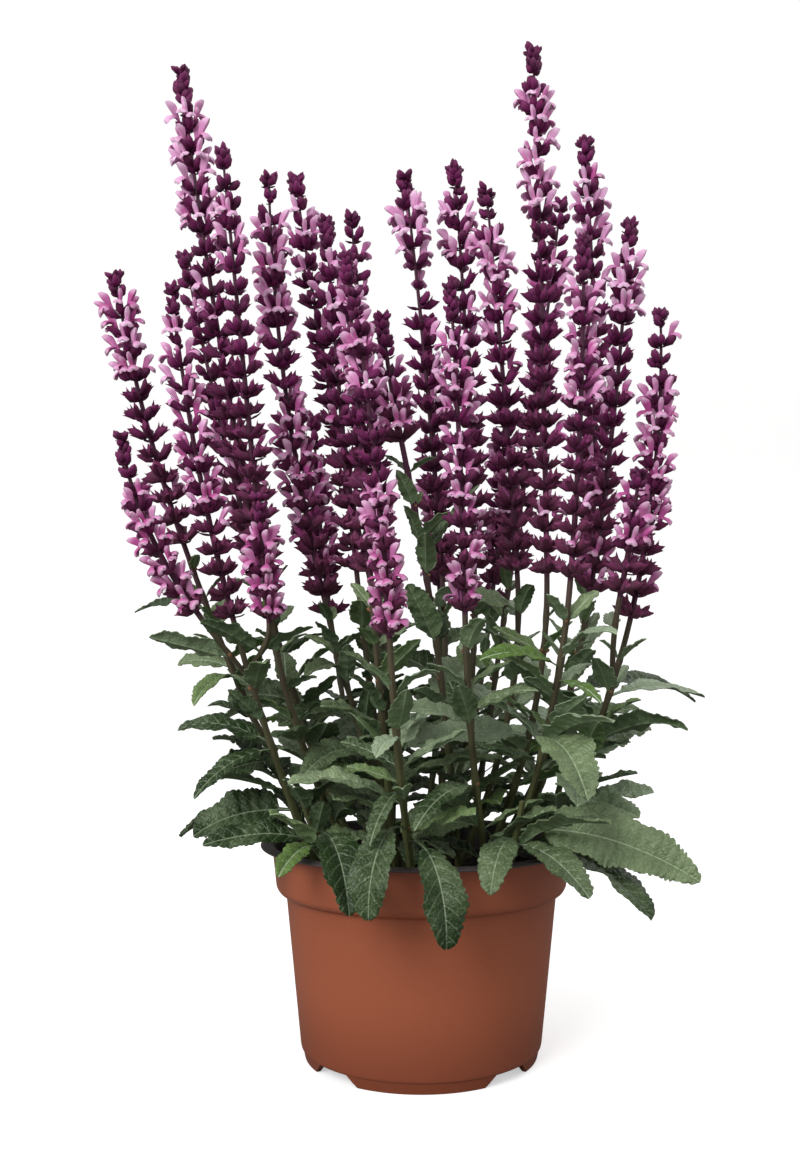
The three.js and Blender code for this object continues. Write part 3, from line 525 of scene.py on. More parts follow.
def fill_leaves(stems, obstacles, keep):
    """Adds small leaves in opposite pairs up every stem, each pair turned a quarter from the one below. Their
    chord shrinks and their rise grows evenly up the stem, and they stand closer than the large ones."""
    obstacles.rows[:, 3] *= FILL.gap / GAP.leaf
    spikes = obstacles.rows[:, 4] < 0
    obstacles.rows[spikes, 3] = FILL.spike_gap
    random = random_from(SEED.fill)
    for name, stem in stems.items():
        whole = float(np.linalg.norm(stem.top - stem.start))
        outward = math.atan2(stem.top[1], stem.top[0])
        for level, at in enumerate(np.arange(FILL.first, whole - FILL.below_top, FILL.step)):
            share = at / whole
            for turn in (0, 180):
                azimuth = outward + (turn + level * 90 + vary(random, FILL.swing)) * DEG
                rise = lerp(*FILL.rise, share) + vary(random, FILL.rise_vary)
                chord = lerp(*FILL.chord, share) * lerp(*FILL.chord_vary, random())
                bend = lerp(*FILL.bend, random())
                roll = vary(random, FILL.roll)
                if random() < FILL.chance:
                    width = chord * lerp(*FILL.width, random())
                    keep(SimpleNamespace(
                        stem=name, root=on_curve(stem.curve, share), azimuth=azimuth, rise=rise * DEG,
                        length=chord, bend=bend * DEG, width=width, roll=roll * DEG,
                    ), FILL.gap, FILL.tries)


# ---------------------------------------------------------------- surfaces


class Shape:
    """Points and the faces over them. corners holds the faces' point numbers one after the other, sizes how
    many each face has, uv a pattern place for each corner, kind a material number for each face, and values
    named numbers for each point."""

    def __init__(self, points, corners, sizes, uv, kind=0, **values):
        self.points = points
        self.corners = corners
        self.sizes = sizes
        self.uv = uv
        self.kind = np.broadcast_to(kind, len(sizes)).copy()
        self.values = {name: np.broadcast_to(v, len(points)).astype(float) for name, v in values.items()}


def join(shapes):
    """One shape that holds several, in turn. Values that a shape lacks are 0."""
    starts = np.cumsum([0] + [len(s.points) for s in shapes[:-1]])
    names = sorted({name for s in shapes for name in s.values})
    values = [[s.values.get(name, np.zeros(len(s.points))) for s in shapes] for name in names]
    return Shape(
        np.concatenate([s.points for s in shapes]),
        np.concatenate([s.corners + start for s, start in zip(shapes, starts)]),
        *(np.concatenate([getattr(s, each) for s in shapes]) for each in ("sizes", "uv", "kind")),
        **dict(zip(names, map(np.concatenate, values))),
    )


def copies(shape, origins, frames, **values):
    """Copies of a shape: a point p becomes origin + frame p, where the frame's columns are the copy's own
    outward, sideways and upward directions times its size. Each value is one number for each copy."""
    m, n = len(origins), len(shape.points)
    every = {name: np.tile(v, m) for name, v in shape.values.items()}
    every.update({name: np.repeat(v, n) for name, v in values.items()})
    return Shape(
        (origins[:, None] + np.einsum("mij,nj->mni", frames, shape.points)).reshape(-1, 3),
        (shape.corners + np.arange(m)[:, None] * n).ravel(),
        np.tile(shape.sizes, m),
        np.tile(shape.uv, (m, 1)),
        np.tile(shape.kind, m),
        **every,
    )


def lattice(rows, columns, around=False):
    """Faces of a grid of points: each takes a point, the next one in its row, and the two in the row above.
    Around joins the last column to the first. Also each corner's share of the way along and up the grid."""
    spans = columns if around else columns - 1
    i, j = (a.ravel() for a in np.meshgrid(np.arange(rows - 1), np.arange(spans), indexing="ij"))
    k = (j + 1) % columns
    faces = np.stack([i * columns + j, i * columns + k, (i + 1) * columns + k, (i + 1) * columns + j], 1)
    along, up = np.stack([j, j + 1, j + 1, j], 1) / spans, np.stack([i, i, i + 1, i + 1], 1) / (rows - 1)
    return faces, np.stack([along, up], 2)


def tube(rings, poles=(None, None), kind=0, **values):
    """A closed surface through rings of points, given as rows x sides x 3. Each end is closed by a fan to a
    pole, or to the middle of its ring where none is given. Values are one number for each ring."""
    rows, sides = rings.shape[:2]
    faces, uv = lattice(rows, sides, around=True)
    first = rings[0].mean(0) if poles[0] is None else poles[0]
    last = rings[-1].mean(0) if poles[1] is None else poles[1]
    j = np.arange(sides)
    k = (j + 1) % sides
    bottom = np.stack([k, j, np.full(sides, rows * sides)], 1)
    top = np.stack([j, k, np.full(sides, rows * sides + 1)], 1) + [(rows - 1) * sides, (rows - 1) * sides, 0]
    share = np.stack([j, j + 1, j + 0.5], 1) / sides
    fan_uv = [
        np.stack([share[:, order], np.full(share.shape, end)], 2)
        for order, end in (((1, 0, 2), 0), ((0, 1, 2), 1))
    ]
    ends = {name: np.concatenate([np.repeat(v, sides), [v[0], v[-1]]]) for name, v in values.items()}
    return Shape(
        np.concatenate([rings.reshape(-1, 3), [first, last]]),
        np.concatenate([faces.ravel(), bottom.ravel(), top.ravel()]),
        np.concatenate([np.full(len(faces), 4), np.full(2 * sides, 3)]),
        np.concatenate([uv.reshape(-1, 2), fan_uv[0].reshape(-1, 2), fan_uv[1].reshape(-1, 2)]),
        kind,
        **ends,
    )


def swept(path, side, up, wide, high, sides, cup=0.0, notch=0.0, kind=0):
    """A tube along a path. At each station a point of the section, for an angle a round it, is
    path + side * wide * cos a + up * (high * sin a - cup * cos^2 a) - (side x up) * notch * sin^2 a."""
    a = np.arange(sides) / sides * TURN
    c, s = np.cos(a), np.sin(a)
    wide, high, cup, notch = (np.broadcast_to(x, len(path))[:, None] for x in (wide, high, cup, notch))
    rings = path[:, None]
    for way, far in ((side, wide * c), (up, high * s - cup * c * c), (np.cross(side, up), -notch * s * s)):
        rings = rings + way[:, None] * far[..., None]
    return tube(rings, kind=kind)


def square_tube(path, heading, radius, sides, kind, rise):
    """A tube along a path. Its section is a rounded square, whose radius at an angle a is
    R (0.93 + 0.12 cos 4a)."""
    first, second = across(heading)
    a = np.arange(sides) / sides * TURN
    section = radius[:, None] * (0.93 + 0.12 * np.cos(4 * a))
    rings = path[:, None] + first[:, None] * (section * np.cos(a))[..., None]
    rings = rings + second[:, None] * (section * np.sin(a))[..., None]
    return tube(rings, kind=kind, rise=rise)


def arc_path(start, first, last, length, stations, keep=slice(None)):
    """A path in the upright plane y = 0 whose slope turns evenly from first to last, in degrees, with its
    sideways and upward directions, at all of its even stations or at those to keep."""
    t = np.linspace(0, 1, stations)
    slope = lerp(first, last, t) * DEG
    step = length / (stations - 1)
    middle = (slope[1:] + slope[:-1]) / 2
    x = start[0] + np.concatenate([[0], np.cumsum(np.cos(middle) * step)])
    z = start[1] + np.concatenate([[0], np.cumsum(np.sin(middle) * step)])
    zero = np.zeros(stations)
    side = np.stack([zero, zero + 1, zero], 1)
    up = np.stack([-np.sin(slope), zero, np.cos(slope)], 1)
    return np.stack([x, zero, z], 1)[keep], side[keep], up[keep]


def shell(points, normal, thickness, uv, **values):
    """A closed sheet from a grid of points, rows x columns x 3: the grid raised and lowered by half of its
    thickness along its normals, and a rim. Its columns run from left to right as its rows run away. Its
    value under is 0 on the upper skin and 1 on the lower."""
    rows, columns = points.shape[:2]
    count = rows * columns
    faces, _ = lattice(rows, columns)
    i, j = np.arange(rows), np.arange(columns)
    rim = np.concatenate([
        j, i[1:] * columns + columns - 1, (rows - 1) * columns + j[-2::-1], i[-2:0:-1] * columns,
    ])
    after = np.roll(rim, -1)
    sides = np.stack([rim + count, after + count, after, rim], 1)
    every = np.concatenate([faces, faces[:, ::-1] + count, sides])
    half = normal * (thickness / 2)
    both = np.concatenate([(points + half).reshape(-1, 3), (points - half).reshape(-1, 3)])
    flat = np.concatenate([uv.reshape(-1, 2)] * 2)[every.ravel()]
    under = np.repeat([0.0, 1.0], count)
    return Shape(both, every.ravel(), np.full(len(every), 4), flat, under=under, **values)


def add_piece(name, shape, materials, nodes, sharp=50):
    """Puts a shape into a mesh and an object of its own, which rides on the root body in place of its nodes.
    Edges where faces meet at more than the sharp angle, in degrees, stay sharp."""
    mesh = bpy.data.meshes.new(name)
    mesh.vertices.add(len(shape.points))
    mesh.vertices.foreach_set("co", (shape.points * MM).astype(np.float32).ravel())
    mesh.loops.add(len(shape.corners))
    mesh.loops.foreach_set("vertex_index", shape.corners.astype(np.int32))
    mesh.polygons.add(len(shape.sizes))
    starts = np.concatenate([[0], np.cumsum(shape.sizes)[:-1]])
    mesh.polygons.foreach_set("loop_start", starts.astype(np.int32))
    mesh.polygons.foreach_set("material_index", shape.kind.astype(np.int32))
    mesh.uv_layers.new(name="pattern").uv.foreach_set("vector", shape.uv.astype(np.float32).ravel())
    for value, numbers in shape.values.items():
        mesh.attributes.new(value, "FLOAT", "POINT").data.foreach_set("value", numbers.astype(np.float32))
    for material in materials:
        mesh.materials.append(material)
    mesh.update(calc_edges=True)
    if mesh.validate():
        raise RuntimeError(f"the mesh of {name} had faults")
    mesh.shade_smooth()
    mesh.set_sharp_from_angle(angle=sharp * DEG)
    piece = bpy.data.objects.new(name, mesh)
    bpy.context.scene.collection.objects.link(piece)
    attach(piece, "root")
    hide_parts(*nodes)
    return piece


# ---------------------------------------------------------------- materials


def connect(tree, socket, value):
    """Links an input to another socket, or sets it. A colour is given as three numbers."""
    if isinstance(value, bpy.types.NodeSocket):
        tree.links.new(value, socket)
    else:
        socket.default_value = (*value, 1.0) if socket.type == "RGBA" else value


def feed(tree, kind, inputs=(), **settings):
    """Adds a node with its settings and its inputs."""
    made = tree.nodes.new(kind)
    for name, value in settings.items():
        setattr(made, name, value)
    for name, value in dict(inputs).items():
        connect(tree, made.inputs[name], value)
    return made


def maths(tree, operation, a, b=0.0, c=0.0):
    """The result of a Math node."""
    return feed(tree, "ShaderNodeMath", {0: a, 1: b, 2: c}, operation=operation).outputs[0]


def blend_colours(tree, share, a, b, way="MIX"):
    """The result of a colour Mix node: a where the share is 0 and b where it is 1."""
    return feed(tree, "ShaderNodeMix", {0: share, 6: a, 7: b}, data_type="RGBA", blend_type=way).outputs[2]


def remap(tree, value, low, high, to_low=0.0, to_high=1.0, smooth=True):
    """The result of a Map Range node, which is clamped."""
    inputs = {"Value": value, "From Min": low, "From Max": high, "To Min": to_low, "To Max": to_high}
    way = "SMOOTHSTEP" if smooth else "LINEAR"
    return feed(tree, "ShaderNodeMapRange", inputs, interpolation_type=way).outputs["Result"]


def noise(tree, place, scale, detail=2.0):
    """The height of a Noise Texture node."""
    inputs = {"Vector": place, "Scale": scale, "Detail": detail}
    return feed(tree, "ShaderNodeTexNoise", inputs).outputs["Fac"]


def new_group(name, inputs, outputs):
    """An empty node group with named sockets, its inputs as its nodes find them, and its outputs."""
    group = bpy.data.node_groups.new(name, "ShaderNodeTree")
    for label, (kind, default) in inputs.items():
        socket = group.interface.new_socket(label, in_out="INPUT", socket_type="NodeSocket" + kind)
        if default is not None:
            socket.default_value = default
    for label, kind in outputs.items():
        group.interface.new_socket(label, in_out="OUTPUT", socket_type="NodeSocket" + kind)
    return group, group.nodes.new("NodeGroupInput").outputs, group.nodes.new("NodeGroupOutput").inputs


def mottle_group():
    """Uneven colour: the dark and the light colour mixed by coarse and fine noise and by the tone given. The
    fine noise is also put out as a height."""
    group, given, out = new_group(
        "Mottled colour",
        {
            "Vector": ("Vector", None),
            "Dark": ("Color", (0.1, 0.1, 0.1, 1)),
            "Light": ("Color", (0.5, 0.5, 0.5, 1)),
            "Coarse": ("Float", 60.0),
            "Fine": ("Float", 900.0),
            "Tone": ("Float", 0.5),
            "Spread": ("Float", 0.6),
        },
        {"Color": "Color", "Height": "Float"},
    )
    coarse, fine = (noise(group, given["Vector"], given[scale]) for scale in ("Coarse", "Fine"))
    both = maths(group, "MULTIPLY_ADD", fine, 0.4, maths(group, "MULTIPLY", coarse, 0.6))
    swing = maths(group, "MULTIPLY", maths(group, "SUBTRACT", both, 0.5), given["Spread"])
    share = feed(group, "ShaderNodeClamp", {"Value": maths(group, "MULTIPLY_ADD", swing, 2.0, given["Tone"])})
    colour = blend_colours(group, share.outputs[0], given["Dark"], given["Light"])
    connect(group, out["Color"], colour)
    connect(group, out["Height"], fine)
    return group


def lines_group():
    """Fine lines at even steps of one coordinate: 1 on a line and 0 between. Width is how far from its middle
    a line fades out, as a share of the step."""
    inputs = {"Place": ("Float", 0.0), "Count": ("Float", 10.0), "Width": ("Float", 0.2)}
    group, given, out = new_group("Even lines", inputs, {"Line": "Float"})
    phase = maths(group, "FRACT", maths(group, "MULTIPLY_ADD", given["Place"], given["Count"], 0.5))
    off = maths(group, "ABSOLUTE", maths(group, "SUBTRACT", phase, 0.5))
    connect(group, out["Line"], remap(group, off, 0.0, given["Width"], 1.0, 0.0))
    return group


def mottled(tree, place, dark, light, coarse, fine, tone=0.5, spread=0.6):
    """An uneven colour and its height, from the shared group."""
    group = bpy.data.node_groups.get("Mottled colour") or mottle_group()
    return feed(tree, "ShaderNodeGroup", {
        "Vector": place, "Dark": dark, "Light": light, "Coarse": coarse, "Fine": fine, "Tone": tone,
        "Spread": spread,
    }, node_tree=group).outputs


def even_lines(tree, place, count, width):
    """Fine lines, from the shared group."""
    group = bpy.data.node_groups.get("Even lines") or lines_group()
    inputs = {"Place": place, "Count": count, "Width": width}
    return feed(tree, "ShaderNodeGroup", inputs, node_tree=group).outputs["Line"]


def new_material(name, **constants):
    """A material with one Principled shader and its constants, its tree, and its shader's inputs."""
    material = bpy.data.materials.new(name)
    material.use_nodes = True
    tree = material.node_tree
    shader = next(n for n in tree.nodes if n.type == "BSDF_PRINCIPLED")
    for socket, value in constants.items():
        connect(tree, shader.inputs[socket.replace("_", " ")], value)
    return material, tree, shader.inputs


def dress(tree, shader, colour, height, distance, strength, rough=None):
    """Feeds a shader its colour, its roughness where that varies, and a normal bumped by a height."""
    bump = feed(tree, "ShaderNodeBump", {"Height": height, "Distance": distance, "Strength": strength})
    connect(tree, shader["Base Color"], colour)
    connect(tree, shader["Normal"], bump.outputs["Normal"])
    if rough is not None:
        connect(tree, shader["Roughness"], rough)


def value_of(tree, name):
    """A named value of the piece's points."""
    return feed(tree, "ShaderNodeAttribute", attribute_name=name).outputs["Fac"]


def object_place(tree):
    """Object coordinates, in metres."""
    return feed(tree, "ShaderNodeTexCoord").outputs["Object"]


def pattern_place(tree):
    """The two parts of the piece's own pattern map."""
    uv = feed(tree, "ShaderNodeUVMap", uv_map="pattern")
    return feed(tree, "ShaderNodeSeparateXYZ", {0: uv.outputs[0]}).outputs[:2]


def darker(colour, share):
    """A colour times a share."""
    return tuple(share * c for c in colour)


def leaf_material(settings):
    """A wrinkled leaf: mottled green by the leaf's own tone, with a pale bluish painted reflection on the
    lighter grown leaves, a pale midrib, side veins and a fine net with painted shade in its grooves, dull
    above and paler below."""
    material, tree, shader = new_material("Salvia leaf", Specular_IOR_Level=0.34, Sheen_Weight=0.05)
    place = object_place(tree)
    tone, under = value_of(tree, "tone"), value_of(tree, "under")
    across_leaf, along = pattern_place(tree)
    lightness = remap(tree, tone, 0.0, 1.0, 0.03, 0.85, smooth=False)
    green = mottled(tree, place, settings.dark, settings.light, 45.0, 700.0, lightness, 0.55)
    # Painted reflection: the lighter grown leaves take on a pale bluish colour that stands in for the bright
    # surroundings mirrored in them.
    grown = remap(tree, tone, GROWN, 0.78, 1.0, 0.0)
    painted_reflection = maths(tree, "MULTIPLY", remap(tree, tone, 0.42, GROWN, 0.0, 0.5), grown)
    colour = blend_colours(tree, painted_reflection, green["Color"], settings.painted_reflection)
    colour = blend_colours(tree, remap(tree, tone, 0.72, 0.95), colour, settings.young)
    side = even_lines(tree, along, 10.0, 0.13)
    off_rib = maths(tree, "ABSOLUTE", across_leaf)
    rib = remap(tree, off_rib, 0.025, 0.06, 1.0, 0.0)
    faded = maths(tree, "MULTIPLY", side, remap(tree, off_rib, 0.2, 1.2, 0.22, 0.04))
    colour = blend_colours(tree, faded, colour, settings.vein)
    net = feed(tree, "ShaderNodeTexVoronoi", {"Vector": place, "Scale": 430.0}, feature="DISTANCE_TO_EDGE")
    # Painted shade: the net's grooves are darkened.
    seam = remap(tree, net.outputs["Distance"], 0.0, 0.16, 1.0, 0.0)
    colour = blend_colours(tree, maths(tree, "MULTIPLY", seam, 0.16), colour, settings.seam)
    pale = remap(tree, tone, 0.1, 0.7, 0.5, 0.95)
    colour = blend_colours(tree, maths(tree, "MULTIPLY", rib, pale), colour, settings.vein)
    colour = blend_colours(tree, maths(tree, "MULTIPLY", under, 0.62), colour, settings.under)
    rough = maths(tree, "MULTIPLY_ADD", green["Height"], 0.22, 0.27)
    rough = maths(tree, "ADD", rough, maths(tree, "MULTIPLY", under, 0.2))
    puff = remap(tree, net.outputs["Distance"], 0.0, 0.35)
    grooved = maths(tree, "SUBTRACT", puff, maths(tree, "MULTIPLY", maths(tree, "ADD", side, rib), 0.8))
    upright = maths(tree, "MULTIPLY_ADD", under, -1.7, 1.0)
    dress(tree, shader, colour, maths(tree, "MULTIPLY", grooved, upright), 0.00045, 0.6, rough)
    return material


def stem_material(settings):
    """A square stem: purple above, through brown, to olive at the soil, with fine lines along it."""
    material, tree, shader = new_material(
        "Salvia stem", Roughness=0.5, Specular_IOR_Level=0.3, Sheen_Weight=0.04,
    )
    rise = value_of(tree, "rise")
    around, _ = pattern_place(tree)
    colour = blend_colours(tree, remap(tree, rise, 0.15, 0.62), settings.stem_low, settings.stem_middle)
    colour = blend_colours(tree, remap(tree, rise, 0.7, 1.1), colour, settings.stem_high)
    lit = mottled(tree, object_place(tree), (0.62, 0.6, 0.6), (1.3, 1.25, 1.25), 90.0, 1400.0)
    colour = blend_colours(tree, 1.0, colour, lit["Color"], "MULTIPLY")
    line = even_lines(tree, around, 24.0, 0.4)
    dress(tree, shader, colour, maths(tree, "MULTIPLY_ADD", line, 0.6, lit["Height"]), 0.00025, 0.6)
    return material


def stub_material(settings):
    """The dry brown ends of shoots that have dropped."""
    material, tree, shader = new_material("Dry stub", Roughness=0.7, Specular_IOR_Level=0.25)
    tan = mottled(tree, object_place(tree), darker(settings.stub, 0.35), settings.stub, 300.0, 2500.0, 0.6)
    dress(tree, shader, tan["Color"], tan["Height"], 0.0003, 0.8)
    return material


def calyx_material(settings):
    """A ribbed calyx: dark purple that turns brown on the lower whorls and red-violet at the mouth, dulled by
    short hairs."""
    material, tree, shader = new_material(
        "Salvia calyx", Specular_IOR_Level=0.22, Sheen_Weight=0.14, Sheen_Tint=(1.0, 0.5, 0.85),
    )
    around, along = pattern_place(tree)
    lightness = remap(tree, value_of(tree, "tone"), 0.0, 1.0, 0.05, 0.85, smooth=False)
    purple = mottled(
        tree, object_place(tree), settings.calyx_dark, settings.calyx_light, 120.0, 1300.0, lightness, 0.9,
    )
    old = remap(tree, value_of(tree, "rise"), 0.0, 0.55, 0.75, 0.0)
    mouth = remap(tree, along, 0.45, 0.95, 0.0, 0.34)
    rib = even_lines(tree, around, 12.0, 0.3)
    colour = blend_colours(tree, old, purple["Color"], settings.calyx_old)
    colour = blend_colours(tree, mouth, colour, settings.calyx_mouth)
    colour = blend_colours(tree, maths(tree, "MULTIPLY", rib, 0.25), colour, settings.calyx_light)
    height = maths(tree, "MULTIPLY_ADD", rib, 0.8, purple["Height"])
    rough = maths(tree, "MULTIPLY_ADD", purple["Height"], 0.25, 0.42)
    dress(tree, shader, colour, height, 0.0003, 0.8, rough)
    return material


def petal_material(settings):
    """A thin floret: deep in the throat and pale at the edges, with a lilac tone of its own."""
    material, tree, shader = new_material(
        "Salvia floret", Specular_IOR_Level=0.35, Roughness=0.5, Sheen_Weight=0.25, Subsurface_Weight=0.12,
        Subsurface_Radius=(0.002, 0.001, 0.002),
    )
    _, along = pattern_place(tree)
    tone = value_of(tree, "tone")
    pink = mottled(tree, object_place(tree), settings.petal_deep, settings.petal, 160.0, 1500.0, tone, 0.35)
    throat, edge = remap(tree, along, 0.0, 0.3, 0.75, 0.0), remap(tree, along, 0.45, 1.0, 0.0, 0.55)
    colour = blend_colours(tree, throat, pink["Color"], settings.petal_deep)
    colour = blend_colours(tree, edge, colour, settings.petal_edge)
    dress(tree, shader, colour, pink["Height"], 0.0002, 0.5)
    return material


def pot_material(settings):
    """Moulded terracotta-coloured plastic, satin, with a faint grain and a little dust, and darkened towards
    its foot as painted shade."""
    material, tree, shader = new_material("Terracotta plastic", Specular_IOR_Level=0.5)
    place = object_place(tree)
    clay = mottled(tree, place, darker(settings.colour, 0.86), settings.colour, 9.0, 700.0, 0.6, 0.9)
    speck = remap(tree, noise(tree, place, 2600.0, 1.0), 0.7, 0.8, 0.0, 0.25)
    height = feed(tree, "ShaderNodeSeparateXYZ", {0: place}).outputs[2]
    colour = blend_colours(tree, speck, clay["Color"], settings.dust)
    # Painted shade: the colour darkens towards the pot's foot.
    colour = blend_colours(tree, remap(tree, height, 0.0, 0.055, 0.62, 0.0), colour, settings.painted_foot_shade)
    rough = maths(tree, "MULTIPLY_ADD", clay["Height"], 0.14, 0.34)
    dress(tree, shader, colour, clay["Height"], 0.0001, 0.25, rough)
    return material


def lining_material(settings):
    """The pot's dark inside and lip."""
    material, tree, shader = new_material("Dark lining", Specular_IOR_Level=0.5)
    grey = mottled(tree, object_place(tree), darker(settings.lining, 0.6), settings.lining, 14.0, 900.0, 0.7)
    rough = maths(tree, "MULTIPLY_ADD", grey["Height"], 0.15, 0.27)
    dress(tree, shader, grey["Color"], grey["Height"], 0.0001, 0.3, rough)
    return material


def soil_material(settings):
    """Moist peat: near black with brown crumbs and a few fibres."""
    material, tree, shader = new_material("Moist peat", Specular_IOR_Level=0.3)
    tone = value_of(tree, "tone")
    peat = mottled(tree, object_place(tree), settings.dark, settings.light, 110.0, 900.0, tone, 1.2)
    rough = maths(tree, "MULTIPLY_ADD", peat["Height"], 0.3, 0.62)
    dress(tree, shader, peat["Color"], peat["Height"], 0.0012, 0.9, rough)
    return material


# ---------------------------------------------------------------- pot and soil


def rounded(outline, radii, steps=4):
    """An outline with its corners rounded: each corner of radius r gives way to an arc, drawn as a quadratic
    curve between the points r before and r after it."""
    outline = np.array(outline, float)
    points = [outline[:1]]
    for before, corner, after, radius in zip(outline, outline[1:], outline[2:], radii[1:]):
        ways = [p - corner for p in (before, after)]
        cuts = [corner + w * min(radius / np.linalg.norm(w), 0.48) for w in ways]
        arc = on_curve((cuts[0], corner, cuts[1]), np.linspace(0, 1, steps))
        points.append(arc if radius else corner[None])
    return np.concatenate([*points, outline[-1:]])


def foot_share(angle):
    """1 in the notches between the feet and 0 on the feet, with a slope at each end of a foot."""
    apart = 360 / POT.feet
    off = abs((angle / DEG + 90 + apart / 2) % apart - apart / 2)
    return np.clip((off - POT.foot_half) / (POT.foot_root_half - POT.foot_half), 0, 1)


def make_pot_shape():
    """The pot as a turned outline. A point at radius r and height z goes to (r cos a, r sin a), and near the
    ground z is raised to the notch height between the feet. The outer skin is clay-coloured, and the lip and
    the inside are dark."""
    wall, hub = POT.wall, 1.5
    corners = [  # radius, height, rounding
        (hub, POT.floor_under, 0), (POT.foot_inner - 0.5, POT.floor_under, 0.4), (POT.foot_inner, 0, 0.5),
        (POT.foot_bottom, 0, 0.6), (POT.foot_top, POT.foot_height, 0.2),
        (POT.body_bottom - 0.4, POT.foot_height, 0.3),
        (POT.body_bottom, POT.foot_height + 1.4, 1.2), (POT.body_top, POT.shoulder - 1.6, 1.0),
        (POT.collar_bottom - 1.6, POT.shoulder, 0.8), (POT.collar_bottom, POT.shoulder + 2.4, 1.4),
        (POT.collar_top, POT.lip_under - 0.2, 0.6), (POT.lip_radius - 0.4, POT.lip_under + 0.2, 0.5),
        (POT.lip_radius, POT.height - 1, 0.8), (POT.lip_radius - 5.6, POT.height, 1.2),
        (POT.collar_top - wall, POT.height - 1.6, 1.4),
        (POT.collar_bottom - wall, POT.shoulder + 3.4, 0.9), (POT.body_top - wall, POT.shoulder, 0.9),
        (POT.body_bottom - wall, POT.floor_top, 2.5), (hub, POT.floor_top, 0),
    ]
    outline = rounded([c[:2] for c in corners], [c[2] for c in corners])
    # Long straight stretches are divided, so that the turned surface shades evenly.
    longest = 16
    step = np.linalg.norm(np.diff(outline, axis=0), axis=1)
    parts = np.maximum(1, np.ceil(step / longest).astype(int))
    divided = [lerp(a, b, shares(n)[:-1, None]) for a, b, n in zip(outline, outline[1:], parts)]
    outline = np.concatenate([*divided, outline[-1:]])
    even = shares(144)[:-1] * TURN
    ends = [
        (foot * 360 / POT.feet - 90 + way * share) * DEG
        for foot in range(POT.feet) for way in (-1, 1)
        for share in np.linspace(POT.foot_half, POT.foot_root_half, 4)
    ]
    angle = np.unique(np.round(np.concatenate([even, np.array(ends) % TURN]), 4))
    r, z = outline[:, 0][:, None], outline[:, 1][:, None]
    raised = np.maximum(z, POT.notch_height * foot_share(angle)[None])
    slope = (POT.foot_top - POT.foot_bottom) / POT.foot_height
    radius = r + np.where(r > POT.foot_inner + 1, slope * (raised - z), 0)
    rings = np.stack([radius * np.cos(angle), radius * np.sin(angle), raised], 2)
    pot = tube(rings)
    lip = np.argmax(outline[:, 0] > POT.collar_top + 1.5)
    row = np.arange(len(outline) - 1) >= lip
    pot.kind[: len(row) * len(angle)] = np.repeat(row, len(angle)) * KIND.lining
    pot.kind[-len(angle):] = KIND.lining
    return pot


def cut_drains(pot):
    """Cuts the four drain holes through the pot's floor."""
    for quarter in range(4):
        angle = (45 + 90 * quarter) * DEG
        x, y = POT.drain_ring * math.cos(angle) * MM, POT.drain_ring * math.sin(angle) * MM
        bpy.ops.mesh.primitive_cylinder_add(
            vertices=24, radius=POT.drain_radius * MM, depth=12 * MM, location=(x, y, POT.floor_top * MM),
        )
        drill = bpy.context.object
        cut = pot.modifiers.new("drain", "BOOLEAN")
        cut.operation, cut.object, cut.solver = "DIFFERENCE", drill, "EXACT"
        bpy.context.view_layer.objects.active = pot
        bpy.ops.object.modifier_apply(modifier=cut.name)
        bpy.data.objects.remove(drill)


def soil_height(x, y):
    """The soil's height at a place: its level and a few crossing waves of shrinking length, which leave it
    low by the wall and heaped a little round the stems."""
    r = np.hypot(x, y)
    waves = sum(
        1.5 / k * np.sin(x * 0.05 * k * math.cos(3 * k) + y * 0.05 * k * math.sin(3 * k) + 2 * k)
        for k in (1, 2, 3, 5, 8)
    )
    return SOIL_TOP + 0.7 * waves + 2.0 * np.exp(-((r / 55) ** 4)) - 1.2


def make_ground(wall, gap, rng):
    """The soil's body: rings out to the wall, whose height is soil_height with seeded grain, and a skirt down
    the pot's inside to its floor."""
    sides, circles, coarse = 150, 50, 0.35
    a = np.arange(sides) / sides * TURN
    radii = np.linspace(0.5, wall, circles)
    x, y = radii[:, None] * np.cos(a), radii[:, None] * np.sin(a)
    grain = rng.normal(0, 1, x.shape)
    grain = grain + np.roll(grain, 1, 1) + np.roll(grain, 1, 0)
    top = np.stack([x, y, soil_height(x, y) + coarse * grain], 2)
    below = np.array([
        (POT.body_bottom - gap, POT.floor_top + 0.4), (POT.body_top - gap, POT.shoulder + 0.5),
        (POT.collar_bottom - gap, POT.shoulder + 4),
    ])
    skirt = [below[:, :1] * np.cos(a), below[:, :1] * np.sin(a), np.repeat(below[:, 1:], sides, 1)]
    rings = np.concatenate([np.stack(skirt, 2), top[::-1]])
    return tube(rings, tone=np.full(len(rings), 0.35))


